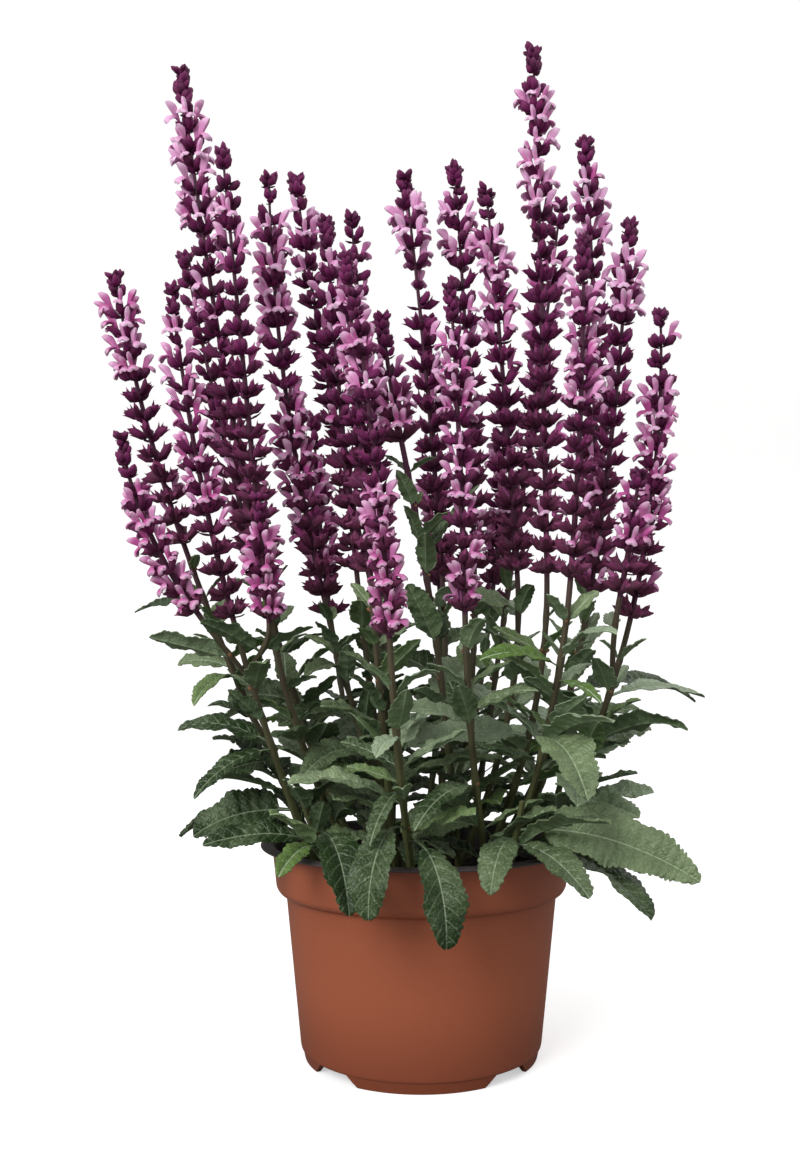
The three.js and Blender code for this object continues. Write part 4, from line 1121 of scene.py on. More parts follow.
def make_soil_shape(settings):
    """The soil's body with crumbs on it, which are cubes pushed out towards a ball, stretched and turned at
    random."""
    rng = np.random.default_rng(SEED.soil)
    gap = POT.wall + 0.5
    wall = lerp(POT.collar_bottom, POT.collar_top, 0.2) - gap
    ground = make_ground(wall, gap, rng)
    corner = np.array([[i, j, k] for k in (-1, 1) for j in (-1, 1) for i in (-1, 1)], float)
    cube = np.array([[0, 2, 3, 1], [4, 5, 7, 6], [0, 1, 5, 4], [2, 6, 7, 3], [0, 4, 6, 2], [1, 3, 7, 5]])
    crumb = Shape(corner / math.sqrt(3), cube.ravel(), np.full(len(cube), 4), np.zeros((cube.size, 2)))
    count = settings.crumbs
    away, turn = (wall - 3) * np.sqrt(rng.random(count)), rng.random(count) * TURN
    x, y = away * np.cos(turn), away * np.sin(turn)
    size = settings.crumb_size / MM * rng.uniform(0.35, 1.2, count) ** 2
    frames = np.linalg.qr(rng.normal(0, 1, (count, 3, 3)))[0]
    frames *= np.where(np.linalg.det(frames) < 0, -1.0, 1.0)[:, None, None]
    frames = frames * rng.uniform(0.6, 1.4, (count, 1, 3)) * size[:, None, None]
    origins = np.stack([x, y, soil_height(x, y) + 0.3 * size], 1)
    return join([ground, copies(crumb, origins, frames, tone=rng.uniform(0.1, 1.0, count))])


# ---------------------------------------------------------------- stems and leaves


def scallop_rows(leaf, teeth, rng):
    """Where the rows of a blade's points lie, from below 0 on the stalk through 0 at the blade's foot to 1 at
    its tip, and how far the left and the right edge stand out at each. A scallop is two or three rows long,
    and the valleys of one edge fall between those of the other."""
    lobe = np.array([0.0, 1.0, 0.9] if leaf.length > BLADE.three_rows else [0.0, 1.0])
    stalk = np.array([-1, -0.5]) * LEAF.petiole_share / (1 - LEAF.petiole_share)
    steps = np.repeat(rng.uniform(*BLADE.step, teeth), len(lobe))
    u = np.concatenate([stalk, [0], np.cumsum(steps) / steps.sum()])
    row = np.maximum(np.arange(len(u)) - len(stalk), 0)
    left, right = (
        lobe[(row + shift) % len(lobe)] * rng.uniform(*BLADE.scallop, teeth + 1)[row // len(lobe)]
        for shift in (0, 1)
    )
    return u, left, right


def blade_half(leaf, u, settings, rng):
    """Half a leaf's width at shares u of its blade. As far as the leaf is a spoon, the plan's gives way to
    0.44 w * sin(pi * t^1.1)^0.5 with t = (u - 0.2) / 0.8. It widens towards one end and waves slowly."""
    on_blade = np.clip(u, 0, 1)
    s = LEAF.petiole_share + (1 - LEAF.petiole_share) * u
    half = half_width(leaf, s) * settings.width * (1 + rng.uniform(*BLADE.blunt) * on_blade**6)
    t = np.clip((u - BLADE.spoon_from) / (1 - BLADE.spoon_from), 0, 1)
    spoon = leaf.width * BLADE.spoon_half * np.maximum(np.sin(math.pi * t**1.1), 0) ** 0.5
    half = lerp(half, np.maximum(spoon, LEAF.petiole_half), spoon_share(leaf) * (u > 0))
    slow = BLADE.wave * np.sin(TURN * BLADE.wave_turns * u + leaf.azimuth)
    uneven = rng.uniform(*BLADE.taper) * (2 * on_blade - 1) + slow
    return np.maximum(half * (1 + uneven * (u > 0)), 0.25)


def edge_waves(u, v, turns, starts):
    """Sines along a blade, one for its left and one for its right half: so many turns from foot to tip."""
    return np.where(v >= 0, *(np.sin(TURN * many * u + start) for many, start in zip(turns, starts)))


def make_leaf_shape(leaf, settings, rng):
    """A leaf's closed skin on the plan's folded and arched blade, with uneven scallops. The blade puffs up
    between its side veins by 1 - exp(-(d/0.2)^2), d being the distance to the nearest vein as a share of
    their spacing. The midrib is sunk, the margins ripple by sines, the tip is lifted by the square of the way
    along its outer half, and the blade twists evenly along its length."""
    blade = leaf.length * (1 - LEAF.petiole_share)
    teeth = max(5, round(blade * MM / settings.tooth))
    veins = max(4, round(blade * MM / settings.vein_spacing))
    u, left, right = scallop_rows(leaf, teeth, rng)
    s = LEAF.petiole_share + (1 - LEAF.petiole_share) * u
    large = leaf.length > BLADE.three_rows
    v = np.array([1, 0.76, 0.36, 0, -0.36, -0.76, -1] if large else [1, 0.6, 0, -0.6, -1])
    scallop = np.where(v > 0, left[:, None], right[:, None])
    u = u[:, None]
    blade_only = u > 0
    half = blade_half(leaf, u, settings, rng)
    depth = settings.tooth_depth / MM * np.minimum(1, half / 4) * (leaf.width / 24) ** 0.5 * blade_only
    reach = half * v + np.sign(v) * abs(v) ** 3 * depth * (scallop - 0.5)
    slant = BLADE.slant * abs(v) * half / blade * (1 + BLADE.slant_more * abs(v))
    phase = veins * (np.clip(u, 0, 1) - slant)
    from_vein = abs((phase + 0.5) % 1 - 0.5)
    quilt = 1 - np.exp(-((from_vein / BLADE.groove) ** 2))
    quilt = quilt * (1 - abs(v) ** 5) * np.minimum(1, half / 5) * blade_only
    puff = settings.puff / MM * (leaf.width / 22) ** 0.5
    rib = np.exp(-((reach / BLADE.rib) ** 2)) * blade_only
    starts = rng.uniform(0, TURN, 4)
    ripple = edge_waves(u, v, (2.1, 2.4), starts[:2]) + 0.5 * edge_waves(u, v, (4.7, 5.1), starts[2:])
    ripple = settings.ripple * half * v**2 * ripple * blade_only
    fold = LEAF.fold * rng.uniform(*BLADE.fold)
    rise = fold * abs(reach) + puff * (quilt * (1 - rib) - 0.5 * rib) + ripple
    lift = rng.uniform(-BLADE.lift, BLADE.lift) * leaf.length
    rise = rise + lift * np.maximum(u - 0.5, 0) ** 2 / 0.25
    twist = rng.uniform(-BLADE.twist, BLADE.twist) * DEG
    middle, sideways, normal = leaf_frame(leaf, s, leaf.roll + twist * (s - 0.5))
    points = middle[:, None] + sideways[:, None] * reach[..., None] + normal[:, None] * rise[..., None]
    uv = np.stack([reach / 10, np.broadcast_to(phase, reach.shape) / 10], 2)
    normal = np.broadcast_to(normal[:, None], points.shape)
    return shell(points, normal, settings.thickness / MM, uv, tone=leaf.tone)


def spoon_share(leaf):
    """How far a leaf's outline is a spoon's, from 0 to 1: fully where it hangs, and half way for the narrower
    leaves low on the plant."""
    hanging = np.clip((leaf.bend / DEG - 70) / 25, 0, 1)
    return float(max(hanging, 0.5 * (leaf.root[2] < 160 and leaf.width < 27)))


def leaf_tone(leaf, rng):
    """How light a leaf is, from 0 to 1: darker below and where it hangs, lighter above and where it is very
    wide, and lighter on the +X side, which is painted light. Now and then a leaf that isn't long is young."""
    if rng.random() < YOUNG.share and leaf.length < YOUNG.longest:
        return rng.uniform(*YOUNG.tone)
    large = float(np.clip((leaf.width - 28) / 8, 0, 1))
    hanging = spoon_share(leaf)
    # The rise towards +X is painted light: it makes the leaves on that side lighter and gives them more of
    # the painted reflection.
    usual = 0.25 + 0.0014 * (leaf.root[2] - 150) + 0.0030 * leaf.root[0] + 0.3 * large - 0.22 * hanging
    return float(np.clip(rng.normal(usual, 0.31 - 0.17 * hanging), 0.0, GROWN))


def make_stem_shape(stem, knots):
    """A stem's skin: a square tube that is thicker by a quarter at each knot, where leaves part from it."""
    whole = float(np.linalg.norm(stem.top - stem.start))
    t = np.linspace(0 if stem.parent else -0.03, 1, max(8, round(whole / 4)))
    path, heading = on_curve(stem.curve, t), heading_on(stem.curve, np.clip(t, 0, 1))
    radius = lerp(STEM.top_radius if stem.parent else STEM.bottom_radius, STEM.top_radius, t)
    swell = sum((np.exp(-(((t - k) * whole / 2.6) ** 2)) for k in knots), np.zeros(len(t)))
    radius = radius * (1 + 0.26 * np.minimum(swell, 1))
    rise = np.clip((path[:, 2] - SOIL_TOP) / STEM.reach, 0, STEM.high)
    return square_tube(path, heading, radius, 16, KIND.stem, rise)


def make_stub_shape():
    """A dry stub: a short tube, wider at its open end, that points outwards and up."""
    path, side, up = arc_path((1.2, 0.6), 30, 60, 2.9, 4)
    wide = np.array([0.8, 1.0, 1.15, 0.55])
    return swept(path, side, up, wide, wide, 7, kind=KIND.stub)


def grow_stem(stem, branches, leaves, settings, materials, stub, rng):
    """One leafy stem with its branches: their skins, their leaves, and a stub in some of the forks."""
    shapes = []
    for part in [stem, *branches]:
        own = [leaf for leaf in leaves if leaf.stem == part.name]
        whole = part.top - part.start
        knots = sorted({round(float((leaf.root - part.start) @ whole / (whole @ whole)), 2) for leaf in own})
        shapes.append(make_stem_shape(part, knots))
        for leaf in own:
            leaf.tone = leaf_tone(leaf, rng)
            shapes.append(make_leaf_shape(leaf, settings, rng))
        roots = [leaf for leaf in own if rng.random() < settings.stub_share]
        if roots:
            turn = np.array([leaf.azimuth for leaf in roots]) + rng.uniform(0.5, 1.2, len(roots))
            zero = np.zeros(len(roots))
            out = np.stack([np.cos(turn), np.sin(turn), zero], 1)
            upward = np.stack([zero, zero, zero + 1], 1)
            size = rng.uniform(0.7, 1.1, len(roots))
            frames = np.stack([out, np.cross(upward, out), upward], 2) * size[:, None, None]
            shapes.append(copies(stub, np.array([leaf.root for leaf in roots]), frames))
    node = ("leafy_stem_" if stem.spike is not None else "leafy_shoot_") + stem.name
    add_piece("fine_" + node, join(shapes), materials, [node])


# ---------------------------------------------------------------- flower spikes


def make_calyx_shape(age):
    """A calyx: a curved bell on a short stalk. Its mouth has an upper tooth and two lower ones, drawn out
    along its heading. With age, from 0 to 1, they lengthen and spread. It is closed inside its mouth."""
    wide = lerp(np.array([0.4, 1.2, 2.2, 1.9]), np.array([0.4, 1.0, 1.85, 1.8]), age)
    first, last, length = lerp(np.array([18, 62, 6.7]), np.array([10, 50, 7.2]), age)
    path, side, up = arc_path((0.9, 0.0), first, last, length, 26, keep=[0, 5, 14, 23])
    sides = 8
    a = (np.arange(sides) / sides + 0.25) * TURN
    rings = path[:, None] + wide[:, None, None] * (
        side[:, None] * np.cos(a)[:, None] + up[:, None] * 1.1 * np.sin(a)[:, None]
    )
    tooth = np.array([1.0, 0.15, 0.3, 0.95, 0.0, 0.95, 0.3, 0.15])[:, None]
    heading = np.cross(side[-1], up[-1])
    outward = unit(rings[-1] - path[-1])
    mouth = rings[-1] + heading * lerp(0.9 + 1.4 * tooth, 0.4 + 2.9 * tooth, age)
    mouth = mouth + outward * lerp(-0.5 - 0.6 * tooth, 0.1 + 0.6 * tooth, age)
    return tube(np.concatenate([rings, mouth[None]]), poles=(None, path[-1] + heading * lerp(0.8, -0.8, age)))


def make_bud_shape():
    """A closed calyx in the tip: a plump drop with a short point."""
    path, side, up = arc_path((0.4, 0.0), 26, 80, 7.4, 6, keep=[0, 1, 2, 4, 5])
    wide = np.array([0.6, 1.9, 2.4, 1.5, 0.2])
    return swept(path, side, up, wide, wide * 0.9, 7)


def make_bract_shape():
    """A bract under a whorl: a small pointed leaf, hollowed above, that stands out and turns up."""
    path, side, up = arc_path((0.6, -0.8), 6, 52, 6.0, 5)
    wide = np.array([0.8, 2.1, 2.0, 1.2, 0.12])
    return swept(path, side, up, wide, 0.25, 6, cup=-0.25 * wide)


def make_floret_shape():
    """An open floret: an erect hood, deeper than it is wide, which leans out and has a round end, above a
    lower lip, a sheet with hanging edges that swells to its broad middle lobe. That lobe hangs and has a
    notch: the middle of the sheet's last two rows is drawn back."""
    stations, keep = 8, [0, 2, 4, 5, 6, 7]
    path, side, up = arc_path((4.5, 4.4), 52, 70, 11.6, stations, keep)
    arch = 1.4 * np.sin(math.pi * np.linspace(0, 1, stations)[keep] ** 1.4)
    wide = np.array([0.6, 1.05, 1.45, 1.55, 1.4, 0.8])
    high = 1.1 * np.array([0.8, 1.45, 2.15, 2.25, 1.9, 1.0])
    hood = swept(path + up * arch[:, None], side, up, wide, high, 6, kind=KIND.petal)
    path, side, up = arc_path((5.2, 6.2), 34, -76, 8.8, stations, keep)
    wide = np.array([0.8, 1.6, 2.8, 3.5, 3.3, 1.8])
    high = np.array([0.9, 0.8, 1.0, 1.1, 1.1, 0.7])
    hang = np.array([0.0, 0.5, 0.7, 0.9, 0.9, 0.5])
    notch = np.array([0.0, 0.0, 0.0, 0.0, 0.5, 1.6])
    return join([hood, swept(path, side, up, wide, high, 8, cup=hang, notch=notch, kind=KIND.petal)])


def make_young_floret_shape():
    """A floret before it opens: a small club that stands out of its calyx."""
    path, side, up = arc_path((4.4, 4.2), 60, 72, 7.0, 5)
    wide = np.array([0.6, 0.85, 1.3, 1.4, 0.5])
    return swept(path, side, up, wide, wide, 7, kind=KIND.petal)


def whorl_places(length, zone, vigour, slack, settings):
    """How far up a spike its whorls sit: evenly apart below, closer through the zone of buds, and closest
    over the last half of it. Vigour stretches the wide steps and slack the close ones."""
    places = []
    at = 4.0
    while at < length - 3.5:
        places.append(at)
        share = np.clip(2 * (length - at) / zone - 1, 0, 1)
        at += lerp(settings.bud_spacing * slack, settings.whorl_spacing * vigour, share) / MM
    return np.array(places)


def turned_frames(out, heading, tilt, roll, size):
    """Frames for copies: out and heading turned towards each other by tilt, then about out by roll."""
    c, s = np.cos(tilt)[:, None], np.sin(tilt)[:, None]
    first = out * c + heading * s
    third = heading * c - out * s
    second = np.cross(third, first)
    c, s = np.cos(roll)[:, None], np.sin(roll)[:, None]
    return np.stack([first, second * c + third * s, third * c - second * s], 2) * size[:, None, None]


def plan_whorls(stem, settings, rng):
    """A spike's whorls from its foot to its tip: their places, the axis's heading and two directions across
    it, their share of the way up, their distance from the tip, their turn and their size. They are turned a
    quarter from one to the next and shrink into the bud tip. Spikes at the back are the larger ones."""
    length = float(np.linalg.norm(stem.spike[2] - stem.top))
    vigour = float(np.clip(settings.vigour + stem.spike[1][1] / WHORL.depth, *WHORL.size))
    zone, slack = settings.bud_zone / MM * rng.uniform(*WHORL.zone), rng.uniform(*WHORL.slack)
    if stem.name in TIPS:
        zone, slack = TIPS[stem.name], WHORL.tip_slack
    at = whorl_places(length, zone, vigour**0.7, slack, settings)
    rise, left, count = at / length, length - at, len(at)
    heading = heading_on(stem.spike, rise)
    u, v = across(heading)
    size = lerp(settings.bud_size, 1, np.clip((left - 3) / zone, 0, 1) ** 0.8)
    return SimpleNamespace(
        length=length, vigour=vigour, zone=zone, centre=on_curve(stem.spike, rise), heading=heading, u=u, v=v,
        rise=rise, left=left, size=size * lerp(*WHORL.narrowing, rise) * vigour,
        turn=rng.uniform(0, TURN) + np.arange(count) * TURN / 4 + rng.normal(0, WHORL.turn, count),
    )


def round_whorls(whorls, offsets, jitter, rng, chance=1.0):
    """Places for copies round every whorl, at the offsets' angles from its turn: the number of the whorl and
    the outward direction of each. The chance that a copy is there falls to this at the top."""
    count = len(whorls.turn)
    row = np.repeat(np.arange(count), len(offsets))
    angle = whorls.turn[row] + np.tile(offsets, count) + rng.normal(0, jitter, len(row))
    kept = rng.random(len(row)) < lerp(1.0, chance, whorls.rise[row])
    row, angle = row[kept], angle[kept]
    return row, whorls.u[row] * np.cos(angle)[:, None] + whorls.v[row] * np.sin(angle)[:, None]


def plan_calyces(whorls, settings, rng):
    """The calyces: up to four fanned out over each of two bracts. Those by the tip are closed buds, and most
    of those in the lower part of the spike are aged."""
    fan = settings.fan * np.array([-1.5, -0.5, 0.5, 1.5])
    offsets = np.concatenate([fan, fan + math.pi])
    row, out = round_whorls(whorls, offsets, CALYX.jitter, rng, settings.thinning)
    many, size, heading = len(row), whorls.size[row], whorls.heading[row]
    scale = size * rng.uniform(*CALYX.size, many)
    tilt = rng.normal(0, CALYX.tilt, many) * DEG
    frames = turned_frames(out, heading, tilt, rng.normal(0, CALYX.roll, many), scale)
    origins = whorls.centre[row] + heading * (rng.uniform(-CALYX.shift, CALYX.shift, many) * size)[:, None]
    return SimpleNamespace(
        row=row, scale=scale, frames=frames, origins=origins, tone=rng.uniform(0, 1, many),
        rise=whorls.rise[row], closed=whorls.left[row] < whorls.zone * CALYX.closed,
        aged=whorls.rise[row] + rng.normal(0, CALYX.aged_spread, many) < CALYX.aged,
    )


def grow_florets(name, whorls, calyces, settings, parts, rng):
    """Florets in the calyces, open or nearly so: many where the plan has the spike in flower, and a few
    elsewhere. They are paler towards the top of the plant."""
    foot, left = whorls.centre[calyces.row, 2], whorls.left[calyces.row]
    height = foot + FLORET.lift
    draw = rng.random(len(height))
    open_now = (draw < settings.strays) & ~calyces.closed
    young = np.zeros(len(height), bool)
    for low, high, share in BLOOMS.get(name, []):
        inside = (height > low) & (height < high) & (left > whorls.zone * 0.7 + 7)
        open_now |= inside & (draw < 1 - (1 - share) ** settings.plenty)
        young |= inside & (draw > 1 - settings.unopened)
    shapes = []
    for part, chosen, deep in (("floret", open_now, 1), ("young_floret", young & ~open_now, FLORET.young)):
        if chosen.any():
            usual = lerp(*FLORET.tone, np.clip((foot[chosen] - FLORET.low) / FLORET.span, 0, 1))
            tone = np.clip(rng.normal(usual, FLORET.spread), 0, 1) * deep
            size = rng.uniform(*FLORET.size, chosen.sum()) * whorls.vigour
            frames = calyces.frames[chosen] / calyces.scale[chosen][:, None, None] * size[:, None, None]
            shapes.append(copies(
                parts[part], calyces.origins[chosen], frames, tone=tone, rise=calyces.rise[chosen],
            ))
    return shapes


def grow_bracts(whorls, bract, rng):
    """Two bracts under each whorl, opposite each other."""
    row, out = round_whorls(whorls, np.array([0, math.pi]), BRACT.jitter, rng)
    many, heading, rise = len(row), whorls.heading[row], whorls.rise[row]
    frames = turned_frames(
        out, heading, rng.normal(*BRACT.tilt, many) * DEG, rng.normal(0, BRACT.roll, many),
        whorls.size[row] * rng.uniform(*BRACT.size, many) * lerp(*BRACT.narrowing, rise),
    )
    places = whorls.centre[row] - heading * BRACT.drop
    return copies(bract, places, frames, tone=rng.uniform(0, 1, many), rise=rise)


def grow_crown(tip, whorls, size, bud, rng):
    """Four buds that lean together over the last whorl."""
    many = 4
    angle = whorls.turn[-1] + (np.arange(many) + 0.5) / many * TURN
    out = whorls.u[-1] * np.cos(angle)[:, None] + whorls.v[-1] * np.sin(angle)[:, None]
    up = np.repeat(whorls.heading[-1:], many, 0)
    flare = rng.uniform(-0.75, -0.2, many)
    frames = turned_frames(out, up, flare, np.zeros(many), np.full(many, size * whorls.vigour))
    return copies(bud, tip - up * 5.2, frames, tone=rng.uniform(0, 1, many), rise=np.ones(many))


def grow_spike(stem, index, settings, materials, parts):
    """One flower spike: whorls of calyces, open and closed florets, bracts, a crown of buds, and the axis."""
    rng = np.random.default_rng(SEED.spikes + index)
    whorls = plan_whorls(stem, settings, rng)
    calyces = plan_calyces(whorls, settings, rng)
    every, grown = vars(calyces), ~calyces.closed
    shapes = []
    for part, chosen in (
        ("bud", calyces.closed), ("calyx", grown & ~calyces.aged), ("aged_calyx", grown & calyces.aged),
    ):
        origins, frames, tone, rise = (every[name][chosen] for name in ("origins", "frames", "tone", "rise"))
        shapes.append(copies(parts[part], origins, frames, tone=tone, rise=rise))
    shapes += grow_florets(stem.name, whorls, calyces, settings, parts, rng)
    shapes.append(grow_bracts(whorls, parts["bract"], rng))
    shapes.append(grow_crown(stem.spike[2], whorls, settings.crown, parts["bud"], rng))
    shapes.append(make_axis_shape(stem, whorls.length))
    node = "flower_spike_" + stem.name
    add_piece("fine_" + node, join(shapes), materials, [node])


def make_axis_shape(stem, length):
    """The spike's axis: a square tube that thins from the stem's top to the bud tip, and is up to a quarter
    thicker half way."""
    t = np.linspace(0, 1 - 3.5 / length, max(8, round(length / 6)))
    radius = lerp(STEM.top_radius, 0.6, t) * (1 + 0.25 * np.sin(math.pi * t))
    rise = np.full(len(t), STEM.high)
    return square_tube(on_curve(stem.spike, t), heading_on(stem.spike, t), radius, 8, KIND.axis, rise)


# ---------------------------------------------------------------- settings


def colour_setting(name, description, default):
    """A colour that a user may change."""
    more = {"subtype": "COLOR", "min": 0, "max": 1}
    return FloatVectorProperty(name=name, description=description, default=default, **more)


def length_setting(name, description, default):
    """A length that a user may change, in metres."""
    return number_setting(name, description, default, unit="LENGTH", precision=5)


def number_setting(name, description, default, **more):
    """A number that a user may change."""
    return FloatProperty(name=name, description=description, default=default, min=0, **more)


class PotSettings(PropertyGroup):
    """The pot's colours."""

    colour: colour_setting("Pot", "Colour of the pot's outside", (0.395, 0.106, 0.048))
    lining: colour_setting("Lining", "Colour of the pot's inside and lip", (0.085, 0.068, 0.072))
    dust: colour_setting("Dust", "Colour of the dust on the pot", (0.45, 0.27, 0.19))
    # Painted shade: the darker colour towards the pot's foot.
    painted_foot_shade: colour_setting("Grime", "Colour of the pot's dirtier foot", (0.180, 0.042, 0.020))


class SoilSettings(PropertyGroup):
    """The soil's crumbs and colours."""

    dark: colour_setting("Dark", "Colour of moist peat", (0.006, 0.005, 0.004))
    light: colour_setting("Light", "Colour of dry crumbs", (0.045, 0.028, 0.019))
    crumbs: IntProperty(name="Crumbs", description="How many crumbs lie on the soil", default=1000, min=0)
    crumb_size: length_setting("Crumb size", "Usual half width of a crumb", 0.0016)


class LeafSettings(PropertyGroup):
    """The shape and colours of leaves and stems."""

    thickness: length_setting("Thickness", "Thickness of a blade", 0.0005)
    width: number_setting("Width", "Width of a blade, as a share of the plan's", 0.92)
    tooth: length_setting("Tooth", "Length of one scallop of the edge", 0.0032)
    tooth_depth: length_setting("Tooth depth", "How far a scallop stands out", 0.0009)
    vein_spacing: length_setting("Vein spacing", "Distance between side veins", 0.0058)
    puff: length_setting("Puff", "How far the blade bulges between veins", 0.0014)
    ripple: number_setting("Ripple", "How far the margins wave, as a share of the width", 0.13)
    stub_share: number_setting("Stubs", "Share of leaves with a dry stub beside them", 0.16)
    dark: colour_setting("Dark", "Darkest green", (0.013, 0.036, 0.004))
    light: colour_setting("Light", "Lightest green of a grown leaf", (0.420, 0.550, 0.285))
    young: colour_setting("Young", "Green of a young leaf", (0.105, 0.195, 0.030))
    # Painted reflection: the pale bluish colour laid on the lighter leaves.
    painted_reflection: colour_setting("Bloom", "Colour of the waxy bloom on light leaves", (0.400, 0.500, 0.370))
    vein: colour_setting("Veins", "Colour of the midrib and veins", (0.440, 0.540, 0.350))
    # Painted shade in the net's grooves.
    seam: colour_setting("Seams", "Colour in the net's grooves", (0.014, 0.032, 0.014))
    under: colour_setting("Underside", "Colour of the underside", (0.140, 0.215, 0.105))
    stem_low: colour_setting("Stem foot", "Colour of a stem at the soil", (0.100, 0.115, 0.040))
    stem_middle: colour_setting("Stem middle", "Colour of a stem half way up", (0.090, 0.076, 0.044))
    stem_high: colour_setting("Stem top", "Colour of a stem below its spike", (0.080, 0.013, 0.046))
    stub: colour_setting("Stubs", "Colour of dry stubs", (0.330, 0.170, 0.090))


class SpikeSettings(PropertyGroup):
    """The shape and colours of flower spikes."""

    whorl_spacing: length_setting("Whorl spacing", "Distance between grown whorls", 0.0112)
    bud_spacing: length_setting("Bud spacing", "Distance between whorls at the tip", 0.0040)
    bud_zone: length_setting("Bud zone", "Length over which whorls shrink to the tip", 0.036)
    bud_size: number_setting("Bud size", "Size of the last buds, as a share of a calyx", 0.73)
    crown: number_setting("Crown", "Size of the buds that crown a tip", 0.76)
    vigour: number_setting("Vigour", "Size of the whorls in the middle of the plant", 1.15)
    plenty: number_setting("Plenty", "How fully a blooming stretch is open", 2.05)
    unopened: number_setting("Unopened", "Share of florets still closed", 0.11)
    strays: number_setting("Strays", "Share of florets open elsewhere", 0.05)
    thinning: number_setting("Thinning", "Share of calyces that are left at the top", 0.62)
    fan: number_setting("Fan", "Angle between calyces over one bract", 0.70, unit="ROTATION")
    calyx_dark: colour_setting("Calyx dark", "Darkest purple of a calyx", (0.040, 0.003, 0.022))
    calyx_light: colour_setting("Calyx light", "Lightest purple of a calyx", (0.205, 0.013, 0.118))
    calyx_old: colour_setting("Old calyx", "Colour of the lowest calyces", (0.150, 0.050, 0.075))
    calyx_mouth: colour_setting("Calyx mouth", "Colour at a calyx's mouth", (0.380, 0.075, 0.230))
    petal: colour_setting("Floret", "Colour of a floret", (0.840, 0.440, 0.720))
    petal_deep: colour_setting("Throat", "Colour in a floret's throat", (0.520, 0.080, 0.320))
    petal_edge: colour_setting("Floret edge", "Colour at a floret's edge", (0.940, 0.720, 0.890))


class StageSettings(PropertyGroup):
    """The camera, the light and the floor."""

    distance: length_setting("Distance", "From the camera to the pot's axis", 0.680)
    height: length_setting("Height", "Height of the camera above the floor", 0.2358)
    floor: colour_setting("Floor", "Colour of the floor and backdrop", (0.86, 0.86, 0.86))
    shade: colour_setting("Shade", "Colour that the floor lends to what stands on it", (0.20, 0.19, 0.18))
    glow: number_setting("Glow", "Strength of the backdrop's own light", 0.50)
    sky: number_setting("Sky", "Strength of the light from all round", 0.72)
    key: number_setting("Key", "Power of the main lamp", 34.0, unit="POWER")


# ---------------------------------------------------------------- operators


class SALVIA_OT_pot(Operator):
    """Makes the grower's pot with its feet, ledge, lip and drain holes"""

    bl_idname = "salvia.pot"
    bl_label = "Make the pot"

    def execute(self, context):
        settings = context.scene.salvia_pot
        materials = [pot_material(settings), lining_material(settings)]
        pot = add_piece("fine_pot", make_pot_shape(), materials, ["pot"], sharp=40)
        cut_drains(pot)
        return {"FINISHED"}


class SALVIA_OT_soil(Operator):
    """Fills the pot with crumbly soil"""

    bl_idname = "salvia.soil"
    bl_label = "Fill in the soil"

    def execute(self, context):
        settings = context.scene.salvia_soil
        add_piece("fine_soil", make_soil_shape(settings), [soil_material(settings)], ["soil"])
        return {"FINISHED"}


class SALVIA_OT_leaves(Operator):
    """Grows every leafy stem and shoot"""

    bl_idname = "salvia.leaves"
    bl_label = "Grow stems and leaves"

    def execute(self, context):
        settings = context.scene.salvia_leaves
        materials = [leaf_material(settings), stem_material(settings), stub_material(settings)]
        stems = plan_stems()
        leaves = plan_leaves(stems)
        rng = np.random.default_rng(SEED.leaves)
        stub = make_stub_shape()
        for stem in stems.values():
            if not stem.parent:
                branches = [other for other in stems.values() if other.parent == stem.name]
                grow_stem(stem, branches, leaves, settings, materials, stub, rng)
        return {"FINISHED"}


class SALVIA_OT_spikes(Operator):
    """Grows every flower spike with its bracts, calyces and florets"""

    bl_idname = "salvia.spikes"
    bl_label = "Grow flower spikes"

    def execute(self, context):
        settings = context.scene.salvia_spikes
        green = bpy.data.materials.get("Salvia stem") or stem_material(context.scene.salvia_leaves)
        materials = [calyx_material(settings), petal_material(settings), green]
        parts = {
            "calyx": make_calyx_shape(0), "aged_calyx": make_calyx_shape(1),
            "bud": make_bud_shape(), "bract": make_bract_shape(),
            "floret": make_floret_shape(), "young_floret": make_young_floret_shape(),
        }
        flowering = [stem for stem in plan_stems().values() if stem.spike is not None]
        for index, stem in enumerate(flowering):
            grow_spike(stem, index, settings, materials, parts)
        return {"FINISHED"}


class SALVIA_OT_stage(Operator):
    """Sets the floor, the light and the camera"""

    bl_idname = "salvia.stage"
    bl_label = "Set the stage"

    def execute(self, context):
        settings = context.scene.salvia_stage
        scene = context.scene
        scene.view_settings.view_transform = "Standard"
        add_camera(scene, settings)
        add_floor(scene, settings)
        add_lights(scene, settings)
        return {"FINISHED"}


# The image's size, where the camera's axis meets it, and the lens's length, all in pixels.
IMAGE = SimpleNamespace(width=800, height=1175, axis_x=421.3, axis_y=655, focal=1141)
SENSOR = 36.0


def add_camera(scene, settings):
    """A level camera in front of the plant, so that upright lines stay upright. Its shift puts the plant in
    the middle of the image."""
    data = bpy.data.cameras.new("camera")
    longest = max(IMAGE.width, IMAGE.height)
    data.sensor_width = data.sensor_height = SENSOR
    data.sensor_fit = "AUTO"
    data.lens = IMAGE.focal / longest * SENSOR
    data.shift_x = (IMAGE.width / 2 - IMAGE.axis_x) / longest
    data.shift_y = (IMAGE.axis_y - IMAGE.height / 2) / longest
    data.clip_start, data.clip_end = 0.02, 30
    camera = bpy.data.objects.new("camera", data)
    camera.location = (0, -settings.distance, settings.height)
    camera.rotation_euler = (90 * DEG, 0, 0)
    scene.collection.objects.link(camera)
    scene.camera = camera


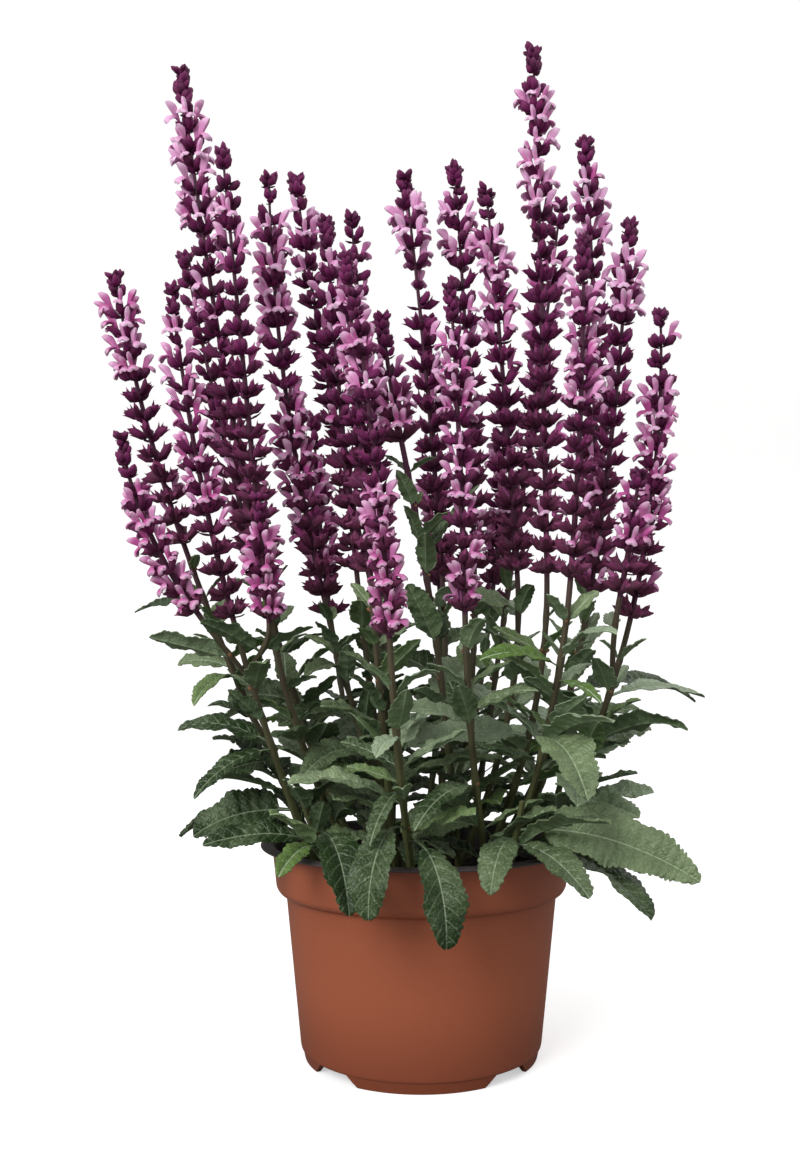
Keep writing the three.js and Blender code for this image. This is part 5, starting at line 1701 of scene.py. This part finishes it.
def add_floor(scene, settings):
    """A pale floor that curves up behind: y runs back, then a quarter circle, then z runs up."""
    front, depth, curve, top, wide = -3.5, 2.6, 1.0, 4.0, 5.0
    turn = np.linspace(0, math.pi / 2, 17)
    y = np.concatenate([[front, 0.0], depth + curve * np.sin(turn), [depth + curve]])
    z = np.concatenate([[0.0, 0.0], curve * (1 - np.cos(turn)), [top]])
    points = np.array([[(x, b, c) for x in (-wide, wide)] for b, c in zip(y, z)]).reshape(-1, 3)
    faces, _ = lattice(len(y), 2)
    mesh = bpy.data.meshes.new("floor")
    mesh.from_pydata(points.tolist(), [], faces.tolist())
    mesh.shade_smooth()
    material, tree, shader = new_material(
        "Pale floor", Roughness=0.9, Specular_IOR_Level=0.1, Emission_Color=(1, 1, 1),
    )
    share = remap(tree, noise(tree, object_place(tree), 3.0), 0.3, 0.7)
    pale = blend_colours(tree, share, settings.floor, darker(settings.floor, 0.985))
    seen = feed(tree, "ShaderNodeLightPath").outputs["Is Camera Ray"]
    connect(tree, shader["Base Color"], blend_colours(tree, seen, settings.shade, pale))
    connect(tree, shader["Emission Strength"], maths(tree, "MULTIPLY", seen, settings.glow))
    mesh.materials.append(material)
    floor = bpy.data.objects.new("floor", mesh)
    scene.collection.objects.link(floor)


def add_lights(scene, settings):
    """White light from all round, and two large soft lamps: the key above and left of the camera, and a
    weaker one behind on the right, which lights the edges."""
    world = bpy.data.worlds.new("studio")
    world.use_nodes = True
    tree = world.node_tree
    background = tree.nodes["Background"].inputs
    connect(tree, background["Color"], (1, 1, 1))
    seen = feed(tree, "ShaderNodeLightPath").outputs["Is Camera Ray"]
    connect(tree, background["Strength"], maths(tree, "MAXIMUM", seen, settings.sky))
    scene.world = world
    for name, power, size, place, aim in (
        ("key", settings.key, 1.2, (-1.1, -1.7, 1.4), (0, 0, 0.3)),
        ("edge", settings.key * 0.4, 1.6, (1.4, 1.6, 2.0), (0, 0, 0.3)),
    ):
        data = bpy.data.lights.new(name, "AREA")
        data.energy, data.size = power, size
        lamp = bpy.data.objects.new(name, data)
        lamp.location = place
        way = unit(np.array(aim, float) - np.array(place, float))
        lamp.rotation_euler = (math.acos(-way[2]), 0, math.atan2(-way[0], way[1]))
        scene.collection.objects.link(lamp)


class SALVIA_PT_panel(Panel):
    """Lists the plant's parts and their settings"""

    bl_idname = "SALVIA_PT_panel"
    bl_label = "Perennial salvia"
    bl_space_type = "VIEW_3D"
    bl_region_type = "UI"
    bl_category = "Salvia"

    def draw(self, context):
        for operator, pointer, settings in STEPS:
            box = self.layout.box()
            box.operator(operator.bl_idname)
            for name in settings.__annotations__:
                box.prop(getattr(context.scene, pointer), name)


STEPS = [
    (SALVIA_OT_pot, "salvia_pot", PotSettings),
    (SALVIA_OT_soil, "salvia_soil", SoilSettings),
    (SALVIA_OT_leaves, "salvia_leaves", LeafSettings),
    (SALVIA_OT_spikes, "salvia_spikes", SpikeSettings),
    (SALVIA_OT_stage, "salvia_stage", StageSettings),
]


def register():
    """Registers the settings, the operators and the panel."""
    for operator, pointer, settings in STEPS:
        bpy.utils.register_class(settings)
        bpy.utils.register_class(operator)
        setattr(bpy.types.Scene, pointer, PointerProperty(type=settings))
    bpy.utils.register_class(SALVIA_PT_panel)


def unregister():
    """Takes them away again."""
    bpy.utils.unregister_class(SALVIA_PT_panel)
    for operator, pointer, settings in reversed(STEPS):
        delattr(bpy.types.Scene, pointer)
        bpy.utils.unregister_class(operator)
        bpy.utils.unregister_class(settings)


def main():
    """Makes the whole plant and its stage."""
    register()
    bpy.ops.salvia.pot()
    bpy.ops.salvia.soil()
    bpy.ops.salvia.leaves()
    bpy.ops.salvia.spikes()
    bpy.ops.salvia.stage()


if __name__ == "__main__":
    main()
